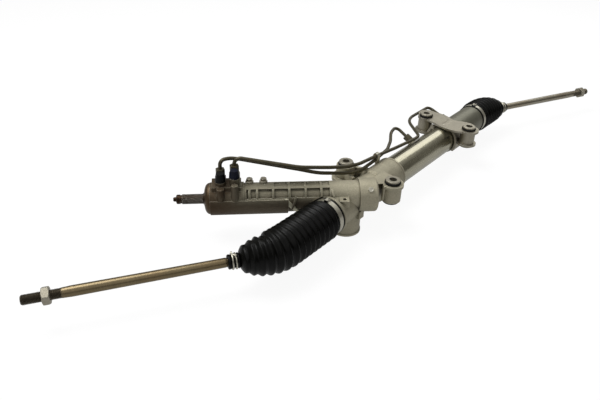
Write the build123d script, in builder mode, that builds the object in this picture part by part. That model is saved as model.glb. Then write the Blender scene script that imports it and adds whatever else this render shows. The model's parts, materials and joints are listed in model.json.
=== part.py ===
"""A power-assisted rack-and-pinion steering gear with four bush mounts, built as a bench assembly.

Units are millimetres. The rack slides along X, +X is towards the hydraulic cylinder, +Z is up along the
four mounting bushes, and the origin is the centre of the bush pattern on the rack's axis. The valve tower
leaves the rack towards -X and +Y. The rack stands as it is stored: pushed to the tower side.
"""

from build123d import *
from math import acos, cos, pi, radians, sin, sqrt, tan
import os

os.makedirs("parts", exist_ok=True)

# ---------------------------------------------------------------- driving dimensions
# mounting bushes
BUSH_SPACING_X = 281.0
BUSH_SPACING_Y = 94.0
BOLT_HOLE_R = 6.25
SLEEVE_R = 8.5
SLEEVE_FLANGE_R = 12.2
SLEEVE_FLANGE_THICK = 2.6
SLEEVE_TOP_Z = 39.0
SLEEVE_BOTTOM_Z = -4.0
BUSH_BORE_R = 12.0
BUSH_LIP_R = 13.6
BOSS_R = 16.0
BOSS_TOP_Z = 32.0
BOSS_BOTTOM_Z = 1.0

# rack bar, its teeth and its travel
RACK_R = 14.0
BALL_OVERHANG = 209.5
BALL_MID_X = 7.0
RACK_TRAVEL = 150.0
RACK_REST_SHIFT = -36.0
TOOTH_FLAT_Z = 10.0
TOOTH_ZONE_MARGIN = 27.0
MODULE = 2.0
PINION_TEETH = 7
PRESSURE_ANGLE = 20.0
PINION_HELIX = 28.0
TOWER_SKEW = 45.0
PROFILE_SHIFT = 0.5
BACKLASH = 0.2
PINION_FACE = 34.0

# pinion housing and tower
PINION_OFFSET = 59.5
BARREL_R = 26.5
TUBE_R = 27.0
TUBE_WALL = 3.0
TUBE_START_X = -100.0
COLLAR_WALL = 3.0
COLLAR_START_X = -125.0
COLLAR_END_X = -65.0
BOOT_CLAMP_OFFSET = 120.2
BOOT_CUFF_LENGTH = 17.0
BOOT_LAND_R = 27.5
NECK_RIM_R = 30.5
NECK_RIM_WIDTH = 6.0
SOCKET_RECESS_GAP = 1.6
TOWER_R = 24.0
TOWER_START = -17.0
VALVE_START = 166.0
VALVE_END = 219.0
VALVE_R = 25.5
PINION_BOSS_R = 27.5
PINION_BOSS_END = -47.0
YOKE_HOUSING_R = 24.5
YOKE_HOUSING_BOTTOM_Z = -48.0
YOKE_R = 18.0

# cylinder
CHAMBER_START_X = 44.0
CHAMBER_END_X = 232.0
END_SLEEVE_START_X = 129.0
END_SLEEVE_WALL = 2.0
PISTON_WIDTH = 14.0
PISTON_X_STRAIGHT = 138.0

# tie rods, ball joints and boots
TIE_ROD_LENGTH = 330.0
LEFT_TOE_ANGLE = 31.5
RIGHT_TOE_ANGLE = 24.4
BALL_R = 12.5
SEAT_WALL = 2.0
SOCKET_WALL = 2.5
SOCKET_BACK_GAP = 12.5
SOCKET_FRONT_GAP = 1.5
ROD_NECK_R = 6.3
ROD_R = 7.5
ROD_THREAD_R = 7.0
ROD_THREAD_LENGTH = 50.0
THREAD_PITCH_DEPTH = 0.49
NUT_ACROSS_FLATS = 22.0
NUT_THICK = 10.0
BOOT_R = 33.5
BOOT_PITCH = 11.4
BOOT_SHOULDER_LENGTH = 70.0
PLEAT_DEPTH = 5.5
BOOT_WALL = 2.0
SMALL_CUFF_START = 49.0
SMALL_CUFF_LENGTH = 18.0

# input shaft (stations are measured along the tower from the rack's axis)
SPLINE_R = 7.9
SPLINE_START = 230.0
SPLINE_END = 263.0
SHAFT_END = 272.0
PILOT_END = 277.0
SPLINE_TEETH = 24

# pipes and ports
PIPE_R = 3.0
PIPE_BEND_R = 10.0
PIPE_SWEEP_R = 60.0
FLARE_NUT_R = 6.5
FLARE_NUT_LENGTH = 13.0
PORT_1_T = 202.0
PORT_2_T = 180.0
PORT_1_TOP = 34.0
PORT_2_TOP = 40.0
PORT_CAP_U = 5.0
PORT_PIPE_U = -11.0
PORT_BOSS_R = 8.5
PORT_BOSS_HEIGHT = 5.0
PORT_BORE_DEPTH = 11.0
PORT_THREAD_WALL = 1.2
PORT_DRILL_R = 2.2
SHORT_PIPE_X = 50.0
SHORT_PIPE_ELEVATION = 28.0
LONG_PIPE_X = 200.0
LONG_PIPE_ELEVATION = 20.0

# fits
RUNNING = 0.05
SEAT = 0.02

# ---------------------------------------------------------------- derived sizes
BUSH_X = BUSH_SPACING_X / 2
BUSH_Y = BUSH_SPACING_Y / 2
PINION_X = -BUSH_X - PINION_OFFSET
BALL_SPAN = 2 * (BUSH_X + BALL_OVERHANG)
SEAT_R = BALL_R + SEAT_WALL
SOCKET_R = SEAT_R + SOCKET_WALL
SOCKET_BACK = BALL_R + SOCKET_BACK_GAP
SOCKET_FRONT = BALL_R + SOCKET_FRONT_GAP
SOCKET_RECESS_R = SOCKET_R + SOCKET_RECESS_GAP
HELIX = radians(PINION_HELIX)
PITCH_R = MODULE * PINION_TEETH / (2 * cos(HELIX))
RACK_TOOTH_ANGLE = TOWER_SKEW - PINION_HELIX
REFERENCE_GAP = PITCH_R + PROFILE_SHIFT * MODULE
PINION_Z = TOOTH_FLAT_Z - MODULE + REFERENCE_GAP
RACK_ROOT_Z = TOOTH_FLAT_Z - 2.25 * MODULE
NORMAL_PITCH = pi * MODULE
AXIAL_PITCH = NORMAL_PITCH / cos(radians(RACK_TOOTH_ANGLE))
PINION_TIP_R = PITCH_R + MODULE * (0.9 + PROFILE_SHIFT)

RACK_MID_X = BALL_MID_X + RACK_REST_SHIFT
LEFT_BALL_X = RACK_MID_X - BALL_SPAN / 2
RIGHT_BALL_X = RACK_MID_X + BALL_SPAN / 2
TRAVEL_LEFT = RACK_TRAVEL / 2 + RACK_REST_SHIFT
TRAVEL_RIGHT = RACK_TRAVEL / 2 - RACK_REST_SHIFT
PISTON_X = PISTON_X_STRAIGHT + RACK_REST_SHIFT

LEFT_CLAMP_X = BALL_MID_X - BUSH_X - BOOT_CLAMP_OFFSET
RIGHT_CLAMP_X = BALL_MID_X + BUSH_X + BOOT_CLAMP_OFFSET
LEFT_FACE_X = LEFT_CLAMP_X - BOOT_CUFF_LENGTH / 2 - 1
RIGHT_FACE_X = RIGHT_CLAMP_X + BOOT_CUFF_LENGTH / 2 + 1
RECESS_DEPTH = SOCKET_BACK - 1.5
WASHER_THICK = 2.0
TUBE_END_X = CHAMBER_END_X + 22
COLLAR_R = TUBE_R + COLLAR_WALL
END_SLEEVE_R = TUBE_R + END_SLEEVE_WALL
PORT_BORE_R = FLARE_NUT_R - PORT_THREAD_WALL

TOWER_DIR = Vector(-cos(radians(TOWER_SKEW)), sin(radians(TOWER_SKEW)), 0)
TOWER_SIDE = Vector(-sin(radians(TOWER_SKEW)), -cos(radians(TOWER_SKEW)), 0)
TOWER = Plane(origin=(PINION_X, 0, PINION_Z), x_dir=TOWER_SIDE, z_dir=TOWER_DIR)
TOWER_PROFILE = Plane(origin=TOWER.origin, x_dir=TOWER_DIR, z_dir=TOWER_SIDE)
RACK_PROFILE = Plane.XZ
LEFT_ROD_DIR = Vector(-cos(radians(LEFT_TOE_ANGLE)), sin(radians(LEFT_TOE_ANGLE)), 0)
RIGHT_ROD_DIR = Vector(cos(radians(RIGHT_TOE_ANGLE)), -sin(radians(RIGHT_TOE_ANGLE)), 0)


# ---------------------------------------------------------------- shared shapes
def on_tower(t, u=0.0, v=0.0):
    """The point t along the tower, u towards its outer flank and v above its axis."""
    return TOWER.origin + TOWER_DIR * t + TOWER_SIDE * u + Vector(0, 0, v)


def radial(elevation):
    """Straight out from the rack's axis, at an angle above the horizontal."""
    return Vector(0, cos(radians(elevation)), sin(radians(elevation)))


def over_tube(x, elevation, clearance):
    """A point beside the tube: an angle above the horizontal and a height over the tube's wall."""
    return Vector(x, 0, 0) + radial(elevation) * (TUBE_R + clearance)


def beside_bush(x, y, z):
    """A point measured from the top of the inner bush boss on the tower's side."""
    return Vector(-BUSH_X + x, BUSH_Y + y, BOSS_TOP_Z + z)


def turned(plane, *loops):
    """A turned piece: each loop of (station, radius) pairs is revolved about the plane's X axis."""
    with BuildPart() as piece:
        for loop in loops:
            with BuildSketch(plane):
                with BuildLine():
                    Polyline(*loop, close=True)
                make_face()
            revolve(axis=Axis(plane.origin, plane.x_dir))
    return piece


def ring(plane, start, end, outer_r, inner_r):
    """A plain turned ring."""
    return turned(plane, [(start, inner_r), (start, outer_r), (end, outer_r), (end, inner_r)])


def rod_profile(ball_x, direction):
    """The plane whose X axis runs from a ball's centre out along its tie rod."""
    return Plane(origin=(ball_x, 0, 0), x_dir=direction, z_dir=(0, 0, 1))


def rack_end_profile(ball_x, side):
    """The plane whose X axis runs from a ball's centre out along the rack's own axis."""
    return Plane(origin=(ball_x, 0, 0), x_dir=(side, 0, 0), z_dir=(0, 0, 1))


def finish(piece, name):
    """Label a finished sub-part and write it under its own name."""
    piece.part.label = name
    export_step(piece.part, f"parts/{name}.step")


short_out = radial(SHORT_PIPE_ELEVATION)
long_out = radial(LONG_PIPE_ELEVATION)

# ---------------------------------------------------------------- pinion housing casting
LAND_END_X = LEFT_CLAMP_X + BOOT_CUFF_LENGTH / 2
RIM_END_X = LAND_END_X + NECK_RIM_WIDTH
RIB_STATIONS = [28.0, 43.0, 68.0, 93.5, 119.0, 144.0, 156.0, 162.5]
RIB_WIDTH = 3.2
FLANK_POCKET_ANGLES = (26.0, 63.0)
FLANK_POCKET_DEPTH = 4.0
CROWN_POCKET_ANGLES = (74.0, 106.0)
CROWN_POCKET_DEPTH = 2.5
CROWN_POCKETS = 4
LEDGE_START = 97.0
LEDGE_R = 26.6
LEDGE_TOP = 9.0
PORT_RIB_R = 7.5
PORT_RIB_U = 19.0
CROWN_BOSS_STATIONS = (135.0, 157.0)
CROWN_BOSS_R = 6.5
CROWN_BOSS_U = -7.0
WEB_THICK = 5.0
PLATE_THICK = 5.0
PLATE_R = 18.5
CAP_R = 17.0
CAP_START = -43.0
LOWER_BEARING_R = 12.5
LOWER_BEARING_START = -37.0
LOWER_BEARING_END = -25.5
UPPER_BEARING_R = 15.0
UPPER_BEARING_START = 29.0
UPPER_BEARING_END = 41.0
SHANK_CLEAR_R = 10.5
CLAMP_RELIEF_R = 32.6
SLEEVE_VALVE_R = 19.0
VALVE_COLLAR_START = 144.0
SLEEVE_VALVE_START = 163.0
END_THREAD_START = 209.0

with BuildPart() as pinion_housing:
    # barrel round the rack, from the boot land to the tube collar
    with BuildSketch(RACK_PROFILE):
        with BuildLine():
            Polyline(
                (LEFT_FACE_X, 0),
                (LEFT_FACE_X, BOOT_LAND_R),
                (LAND_END_X, BOOT_LAND_R),
                (LAND_END_X + 1, NECK_RIM_R),
                (RIM_END_X - 1, NECK_RIM_R),
                (RIM_END_X, BARREL_R),
                (COLLAR_START_X - 3, BARREL_R),
                (COLLAR_START_X, COLLAR_R),
                (COLLAR_END_X - 3, COLLAR_R),
                (COLLAR_END_X - 3, COLLAR_R + 0.8),
                (COLLAR_END_X, COLLAR_R + 0.8),
                (COLLAR_END_X, 0),
                close=True,
            )
        make_face()
    revolve(axis=Axis.X)

    # valve tower, its valve end and the lower bearing boss
    with BuildSketch(TOWER.offset(TOWER_START)):
        Circle(TOWER_R)
    extrude(amount=VALVE_START - TOWER_START)
    with BuildSketch(TOWER.offset(VALVE_START)):
        Circle(VALVE_R)
    extrude(amount=VALVE_END - VALVE_START)
    with BuildSketch(TOWER_PROFILE):
        with BuildLine():
            Polyline((TOWER_START, 0), (TOWER_START, PINION_BOSS_R), (PINION_BOSS_END + 4, PINION_BOSS_R))
            RadiusArc((PINION_BOSS_END + 4, PINION_BOSS_R), (PINION_BOSS_END, PINION_BOSS_R - 4), -4)
            Polyline((PINION_BOSS_END, PINION_BOSS_R - 4), (PINION_BOSS_END, 0), (TOWER_START, 0))
        make_face()
    revolve(axis=Axis(TOWER.origin, TOWER_DIR))

    # yoke housing, straight down opposite the pinion
    with BuildSketch(Plane.XY.offset(YOKE_HOUSING_BOTTOM_Z)):
        with Locations((PINION_X, 0)):
            Circle(YOKE_HOUSING_R)
    extrude(amount=-YOKE_HOUSING_BOTTOM_Z)
    with BuildSketch(Plane.XY.offset(YOKE_HOUSING_BOTTOM_Z)):
        with Locations((PINION_X, 0)):
            Circle(YOKE_HOUSING_R + 1.2)
    extrude(amount=3.5)

    # bush bosses with their webs: the outer one hangs from a top plate, the inner one stands on a low flange
    with BuildSketch(Plane.XY.offset(BOSS_BOTTOM_Z)):
        with Locations((-BUSH_X, -BUSH_Y), (-BUSH_X, BUSH_Y)):
            Circle(BOSS_R)
    extrude(amount=BOSS_TOP_Z - BOSS_BOTTOM_Z)
    with BuildSketch(Plane.XY.offset(BOSS_TOP_Z - PLATE_THICK)):
        with BuildLine():
            Polyline((-BUSH_X - 38, -13), (-BUSH_X - 22, -24), (-BUSH_X - PLATE_R, -BUSH_Y))
            Polyline((-BUSH_X - PLATE_R, -BUSH_Y), (-BUSH_X + PLATE_R, -BUSH_Y), (-BUSH_X + 24, -13))
            Line((-BUSH_X + 24, -13), (-BUSH_X - 38, -13))
        make_face()
        with Locations((-BUSH_X, -BUSH_Y)):
            Circle(PLATE_R)
    extrude(amount=PLATE_THICK)
    for side, spread in ((-1, 16.0), (-1, -30.0), (1, 22.0), (1, -22.0)):
        foot = Vector(-BUSH_X + spread, side * 15, 0)
        run = Vector(-BUSH_X + spread / 3, side * BUSH_Y, 0) - foot
        with BuildSketch(Plane(origin=foot, x_dir=run, z_dir=run.cross(Vector(0, 0, 1)))):
            with BuildLine():
                Polyline(
                    (0, BOSS_BOTTOM_Z + 11),
                    (run.length, BOSS_BOTTOM_Z + 2),
                    (run.length, BOSS_TOP_Z - PLATE_THICK),
                    (0, BOSS_TOP_Z - PLATE_THICK),
                    close=True,
                )
            make_face()
        extrude(amount=WEB_THICK / 2, both=True)
    with BuildSketch(Plane.XY.offset(BOSS_BOTTOM_Z + 3)):
        with BuildLine():
            Polyline((-BUSH_X - 38, 12), (-BUSH_X - 20, BUSH_Y + 10), (-BUSH_X + 20, BUSH_Y + 10))
            Polyline((-BUSH_X + 20, BUSH_Y + 10), (-BUSH_X + 34, 12), (-BUSH_X - 38, 12))
        make_face()
        with Locations((-BUSH_X, BUSH_Y)):
            Circle(23.0)
    extrude(amount=6.0)

    # valve end: flat land and two upright port bosses
    for port_t, port_top in ((PORT_1_T, PORT_1_TOP), (PORT_2_T, PORT_2_TOP)):
        middle = on_tower(port_t, (PORT_CAP_U + PORT_PIPE_U) / 2)
        with BuildSketch(Plane(origin=middle, x_dir=TOWER_SIDE, z_dir=(0, 0, 1))):
            SlotCenterToCenter(PORT_CAP_U - PORT_PIPE_U, 2 * PORT_BOSS_R)
        extrude(amount=port_top)
    # a half-round rib stands against the outer flank below each port, on the ledge of the lower barrel
    for port_t, port_top in ((PORT_1_T, PORT_1_TOP), (PORT_2_T, PORT_2_TOP)):
        with BuildSketch(Plane(origin=on_tower(port_t, PORT_RIB_U, LEDGE_TOP - 1), z_dir=(0, 0, 1))):
            Circle(PORT_RIB_R)
        extrude(amount=port_top - LEDGE_TOP - 5, taper=5)
    with BuildSketch(TOWER.offset(VALVE_START + 4)):
        with Locations((0, 14)):
            Rectangle(30, 28)
    extrude(amount=VALVE_END - VALVE_START - 7)
    with BuildSketch(TOWER.offset(LEDGE_START)):
        Circle(LEDGE_R)
        with Locations((0, LEDGE_TOP + LEDGE_R)):
            Rectangle(2 * LEDGE_R, 2 * LEDGE_R, mode=Mode.SUBTRACT)
    extrude(amount=VALVE_END - LEDGE_START)

    # casting pockets between the ribs: a row on each flank and a shallower row on the crown
    for bay, (start, stop) in enumerate(zip(RIB_STATIONS, RIB_STATIONS[1:])):
        rows = [(*FLANK_POCKET_ANGLES, FLANK_POCKET_DEPTH)]
        rows += [(180 - FLANK_POCKET_ANGLES[1], 180 - FLANK_POCKET_ANGLES[0], FLANK_POCKET_DEPTH)]
        if bay < CROWN_POCKETS:
            rows += [(*CROWN_POCKET_ANGLES, CROWN_POCKET_DEPTH)]
        for low, high, depth in rows:
            with BuildSketch(TOWER.offset(start + RIB_WIDTH)):
                with BuildLine():
                    floor = CenterArc((0, 0), TOWER_R - depth, low, high - low)
                    brim = CenterArc((0, 0), TOWER_R + 3, low, high - low)
                    Line(floor @ 0, brim @ 0)
                    Line(floor @ 1, brim @ 1)
                make_face()
            extrude(amount=stop - start - RIB_WIDTH, mode=Mode.SUBTRACT)

    # slanted ribs: one across the tower's lower flank, one from the neck up over the tower
    for t, lean, low_v, high_v in ((88.0, 24.0, -16.0, 6.0), (20.0, -28.0, 2.0, 26.0)):
        slant = Plane(origin=on_tower(t), x_dir=TOWER_SIDE, z_dir=TOWER_DIR).rotated((0, lean, 0))
        with BuildSketch(slant):
            Ellipse((TOWER_R + 1.8) / cos(radians(lean)), TOWER_R + 1.8)
            Ellipse((TOWER_R - 3) / cos(radians(lean)), TOWER_R - 3, mode=Mode.SUBTRACT)
            with Locations((TOWER_R / 2 + 6, (low_v + high_v) / 2)):
                Rectangle(TOWER_R, high_v - low_v, mode=Mode.INTERSECT)
        extrude(amount=1.5, both=True)

    # lug with a tapped hole on the neck, and a small square pad on the yoke housing
    with BuildSketch(Plane.XY.offset(10)):
        with Locations(Location((PINION_X - 26, -12.5, 0), 40)):
            Rectangle(17, 15)
    extrude(amount=17)
    with BuildSketch(Plane.XZ.offset(YOKE_HOUSING_R - 3)):
        with Locations((PINION_X + 3, -10)):
            Rectangle(12, 14)
    extrude(amount=7.5)

    # two bolt bosses on the tower's crown
    for t in CROWN_BOSS_STATIONS:
        with BuildSketch(Plane(origin=on_tower(t, CROWN_BOSS_U), x_dir=TOWER_DIR, z_dir=(0, 0, 1))):
            Circle(CROWN_BOSS_R)
        extrude(amount=TOWER_R + 2)

    # relief in the tower's flank for the boot's cuff and clamp
    with BuildSketch(RACK_PROFILE):
        with BuildLine():
            Polyline(
                (LEFT_FACE_X - 30, BOOT_LAND_R),
                (LEFT_FACE_X - 30, CLAMP_RELIEF_R),
                (LAND_END_X, CLAMP_RELIEF_R),
                (LAND_END_X, BOOT_LAND_R),
                close=True,
            )
        make_face()
    revolve(axis=Axis.X, mode=Mode.SUBTRACT)

    # rack bore, ball-socket recess and tube socket
    with BuildSketch(RACK_PROFILE):
        with BuildLine():
            Polyline(
                (LEFT_FACE_X - 1, 0),
                (LEFT_FACE_X - 1, SOCKET_RECESS_R),
                (LEFT_FACE_X + RECESS_DEPTH, SOCKET_RECESS_R),
                (LEFT_FACE_X + RECESS_DEPTH, RACK_R + 0.6),
                (TUBE_START_X, RACK_R + 0.6),
                (TUBE_START_X, TUBE_R + SEAT),
                (COLLAR_END_X + 1, TUBE_R + SEAT),
                (COLLAR_END_X + 1, 0),
                close=True,
            )
        make_face()
    revolve(axis=Axis.X, mode=Mode.SUBTRACT)

    # pinion, bearing, shaft and valve bores along the tower
    with BuildSketch(TOWER_PROFILE):
        with BuildLine():
            Polyline(
                (PINION_BOSS_END - 12, 0),
                (PINION_BOSS_END - 12, CAP_R + SEAT),
                (CAP_START, CAP_R + SEAT),
                (CAP_START, LOWER_BEARING_R + SEAT),
                (LOWER_BEARING_END, LOWER_BEARING_R + SEAT),
                (LOWER_BEARING_END, PINION_TIP_R + 1.2),
                (UPPER_BEARING_START, PINION_TIP_R + 1.2),
                (UPPER_BEARING_START, UPPER_BEARING_R + SEAT),
                (UPPER_BEARING_END, UPPER_BEARING_R + SEAT),
                (UPPER_BEARING_END, SHANK_CLEAR_R),
                (VALVE_COLLAR_START, SHANK_CLEAR_R),
                (VALVE_COLLAR_START, SHANK_CLEAR_R + 3.8),
                (SLEEVE_VALVE_START, SHANK_CLEAR_R + 3.8),
                (SLEEVE_VALVE_START, SLEEVE_VALVE_R + RUNNING),
                (END_THREAD_START, SLEEVE_VALVE_R + RUNNING),
                (END_THREAD_START, SLEEVE_VALVE_R + 2),
                (VALVE_END + 1, SLEEVE_VALVE_R + 2),
                (VALVE_END + 1, 0),
                close=True,
            )
        make_face()
    revolve(axis=Axis(TOWER.origin, TOWER_DIR), mode=Mode.SUBTRACT)

    # yoke bore, bush bores, port drillings and the tapped lug hole
    with BuildSketch(Plane.XY.offset(YOKE_HOUSING_BOTTOM_Z - 1)):
        with Locations((PINION_X, 0)):
            Circle(YOKE_R + RUNNING)
    extrude(amount=-YOKE_HOUSING_BOTTOM_Z + 1, mode=Mode.SUBTRACT)
    with BuildSketch(Plane.XY.offset(BOSS_BOTTOM_Z - 8)):
        with Locations((-BUSH_X, -BUSH_Y), (-BUSH_X, BUSH_Y)):
            Circle(BUSH_BORE_R)
    extrude(amount=BOSS_TOP_Z - BOSS_BOTTOM_Z + 16, mode=Mode.SUBTRACT)
    for port_t, port_top in ((PORT_1_T, PORT_1_TOP), (PORT_2_T, PORT_2_TOP)):
        for port_u in (PORT_CAP_U, PORT_PIPE_U):
            with BuildSketch(Plane(origin=on_tower(port_t, port_u, port_top), z_dir=(0, 0, 1))):
                Circle(PORT_BORE_R)
            extrude(amount=-PORT_BORE_DEPTH, mode=Mode.SUBTRACT)
    with BuildSketch(Plane.XY.offset(27)):
        with Locations((PINION_X - 27, -14)):
            Circle(3.0)
    extrude(amount=-10, mode=Mode.SUBTRACT)

finish(pinion_housing, "pinion_housing")

# ---------------------------------------------------------------- hydraulic cylinder
tube_blank = ring(RACK_PROFILE, TUBE_START_X + 1, TUBE_END_X, TUBE_R, TUBE_R - TUBE_WALL)
with BuildPart() as cylinder_tube:
    add(tube_blank.part)
    for port_x, elevation in ((SHORT_PIPE_X, SHORT_PIPE_ELEVATION), (LONG_PIPE_X, LONG_PIPE_ELEVATION)):
        with BuildSketch(Plane(origin=over_tube(port_x, elevation, -2 * TUBE_WALL), z_dir=radial(elevation))):
            Circle(PORT_DRILL_R)
        extrude(amount=3 * TUBE_WALL, mode=Mode.SUBTRACT)
finish(cylinder_tube, "cylinder_tube")

end_land_start = RIGHT_CLAMP_X - BOOT_CUFF_LENGTH / 2
end_blank = turned(
    RACK_PROFILE,
    [
        (END_SLEEVE_START_X, TUBE_R + SEAT),
        (END_SLEEVE_START_X, END_SLEEVE_R - 0.8),
        (END_SLEEVE_START_X + 1, END_SLEEVE_R),
        (end_land_start, END_SLEEVE_R),
        (end_land_start, BOOT_LAND_R),
        (RIGHT_FACE_X, BOOT_LAND_R),
        (RIGHT_FACE_X, SOCKET_RECESS_R),
        (TUBE_END_X, SOCKET_RECESS_R),
        (TUBE_END_X, TUBE_R + SEAT),
    ],
)
with BuildPart() as cylinder_end:
    add(end_blank.part)
    with BuildSketch(Plane(origin=over_tube(LONG_PIPE_X, LONG_PIPE_ELEVATION, -1), z_dir=long_out)):
        Circle(PORT_BORE_R)
    extrude(amount=2 * END_SLEEVE_WALL + 2, mode=Mode.SUBTRACT)
finish(cylinder_end, "cylinder_end_housing")

# port boss brazed on the tube, at the chamber's inner end
with BuildPart() as port_boss:
    with BuildSketch(Plane(origin=over_tube(SHORT_PIPE_X, SHORT_PIPE_ELEVATION, -4), z_dir=short_out)):
        Circle(FLARE_NUT_R + 2)
    extrude(amount=PORT_BOSS_HEIGHT + 4)
    with BuildSketch(Plane.YZ.offset(SHORT_PIPE_X - 2 * FLARE_NUT_R)):
        Circle(TUBE_R + SEAT)
    extrude(amount=4 * FLARE_NUT_R, mode=Mode.SUBTRACT)
    with BuildSketch(Plane(origin=over_tube(SHORT_PIPE_X, SHORT_PIPE_ELEVATION, -1), z_dir=short_out)):
        Circle(PORT_BORE_R)
    extrude(amount=PORT_BOSS_HEIGHT + 2, mode=Mode.SUBTRACT)
finish(port_boss, "tube_port_boss")

# seal carriers either side of the oil chamber, and the rack's plain bush
SEAL_BORE_R = RACK_R + 0.04
inner_seal = turned(
    RACK_PROFILE,
    [
        (CHAMBER_START_X - 18, SEAL_BORE_R),
        (CHAMBER_START_X - 18, TUBE_R - TUBE_WALL - SEAT),
        (CHAMBER_START_X - 12, TUBE_R - TUBE_WALL - SEAT),
        (CHAMBER_START_X - 12, TUBE_R - TUBE_WALL - 1.5),
        (CHAMBER_START_X - 8, TUBE_R - TUBE_WALL - 1.5),
        (CHAMBER_START_X - 8, TUBE_R - TUBE_WALL - SEAT),
        (CHAMBER_START_X, TUBE_R - TUBE_WALL - SEAT),
        (CHAMBER_START_X, SEAL_BORE_R + 3),
        (CHAMBER_START_X - 4, SEAL_BORE_R),
    ],
)
finish(inner_seal, "inner_rack_seal")
outer_seal = turned(
    RACK_PROFILE,
    [
        (CHAMBER_END_X, SEAL_BORE_R + 3),
        (CHAMBER_END_X, TUBE_R - TUBE_WALL - SEAT),
        (CHAMBER_END_X + 8, TUBE_R - TUBE_WALL - SEAT),
        (CHAMBER_END_X + 8, SEAL_BORE_R),
        (CHAMBER_END_X + 4, SEAL_BORE_R),
    ],
)
finish(outer_seal, "outer_rack_seal")
rack_bush = ring(RACK_PROFILE, CHAMBER_END_X + 8, TUBE_END_X, TUBE_R - TUBE_WALL - SEAT, SEAL_BORE_R)
finish(rack_bush, "rack_end_bush")

# ---------------------------------------------------------------- far mounting bracket
BRACKET_TOP_Z = BOSS_TOP_Z + 0.5
BRACKET_PLATE = 4.0
SADDLE_R = END_SLEEVE_R + 4.0
BRACKET_FRONT = [(-14.0, 1.1), (-16.5, 0.5), (-24.0, 0.08), (-27.0, -0.32), (-19.5, -0.9)]
BRACKET_BACK = [(19.5, -1.1), (28.5, -0.76), (24.0, -0.36), (20.5, -0.14), (27.0, 0.2), (32.0, 0.78), (24, 1.24)]
SPOOL_NECK_R = 14.2
SPOOL_FLANGE_R = 18.5
with BuildPart() as bracket:
    with BuildSketch(Plane.XY.offset(BRACKET_TOP_Z - BRACKET_PLATE)):
        with BuildLine():
            front = Spline(*[(BUSH_X + x, share * BUSH_Y) for x, share in BRACKET_FRONT])
            back = Spline(*[(BUSH_X + x, share * BUSH_Y) for x, share in BRACKET_BACK])
            Line(front @ 1, back @ 0)
            Line(back @ 1, front @ 0)
        make_face()
        with Locations((BUSH_X, -BUSH_Y)):
            Circle(SPOOL_FLANGE_R + 1)
        with Locations((BUSH_X, BUSH_Y)):
            Circle(SPOOL_NECK_R + 1.8)
        with Locations((BUSH_X + 14, BUSH_Y + 4)):
            Circle(SPOOL_FLANGE_R)
    extrude(amount=BRACKET_PLATE)
    # saddle round the cylinder end, open underneath
    with BuildSketch(Plane.YZ.offset(BUSH_X - 15)):
        Circle(SADDLE_R)
        with Locations((0, -SADDLE_R)):
            Rectangle(3 * SADDLE_R, SADDLE_R, mode=Mode.SUBTRACT)
    extrude(amount=30)
    # spools round the two bushes and their lower flanges, tied to the saddle
    for side in (-1, 1):
        with BuildSketch(Plane.XY.offset(BOSS_BOTTOM_Z)):
            with Locations((BUSH_X, side * BUSH_Y)):
                Circle(SPOOL_NECK_R)
        extrude(amount=BRACKET_TOP_Z - BOSS_BOTTOM_Z)
        with BuildSketch(Plane.XY.offset(BOSS_BOTTOM_Z)):
            with Locations((BUSH_X, side * BUSH_Y)):
                Circle(SPOOL_FLANGE_R)
            with Locations((BUSH_X, side * (BUSH_Y - 9))):
                Rectangle(24, 18)
        extrude(amount=BRACKET_PLATE)
    with BuildSketch(Plane.YZ.offset(BUSH_X - 40)):
        Circle(END_SLEEVE_R + SEAT)
    extrude(amount=80, mode=Mode.SUBTRACT)
    with BuildSketch(Plane.XY.offset(BOSS_BOTTOM_Z - 8)):
        with Locations((BUSH_X, BUSH_Y), (BUSH_X, -BUSH_Y)):
            Circle(BUSH_BORE_R)
    extrude(amount=60, mode=Mode.SUBTRACT)
finish(bracket, "mounting_bracket")

# ---------------------------------------------------------------- four mounting bushes
BUSH_PLACES = {
    "tower_outer": (-BUSH_X, -BUSH_Y, BOSS_TOP_Z),
    "tower_inner": (-BUSH_X, BUSH_Y, BOSS_TOP_Z),
    "cylinder_outer": (BUSH_X, -BUSH_Y, BRACKET_TOP_Z),
    "cylinder_inner": (BUSH_X, BUSH_Y, BRACKET_TOP_Z),
}
for place, (x, y, boss_top) in BUSH_PLACES.items():
    upright = Plane(origin=(x, y, 0), x_dir=(0, 0, 1), z_dir=(1, 0, 0))
    sleeve = turned(
        upright,
        [
            (SLEEVE_BOTTOM_Z, BOLT_HOLE_R),
            (SLEEVE_BOTTOM_Z, SLEEVE_R),
            (SLEEVE_TOP_Z - SLEEVE_FLANGE_THICK, SLEEVE_R),
            (SLEEVE_TOP_Z - SLEEVE_FLANGE_THICK, SLEEVE_FLANGE_R),
            (SLEEVE_TOP_Z - 0.6, SLEEVE_FLANGE_R),
            (SLEEVE_TOP_Z, SLEEVE_FLANGE_R - 0.6),
            (SLEEVE_TOP_Z, BOLT_HOLE_R),
        ],
    )
    finish(sleeve, f"bush_sleeve_{place}")
    rubber = turned(
        upright,
        [
            (BOSS_BOTTOM_Z - 4, SLEEVE_R + SEAT),
            (BOSS_BOTTOM_Z - 4, BUSH_LIP_R - 1),
            (BOSS_BOTTOM_Z - 0.3, BUSH_LIP_R),
            (BOSS_BOTTOM_Z - 0.3, BUSH_BORE_R - SEAT),
            (boss_top + 0.3, BUSH_BORE_R - SEAT),
            (boss_top + 0.3, BUSH_LIP_R),
            (SLEEVE_TOP_Z - SLEEVE_FLANGE_THICK - SEAT, BUSH_LIP_R - 1.5),
            (SLEEVE_TOP_Z - SLEEVE_FLANGE_THICK - SEAT, SLEEVE_R + SEAT),
        ],
    )
    finish(rubber, f"bush_rubber_{place}")

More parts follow.
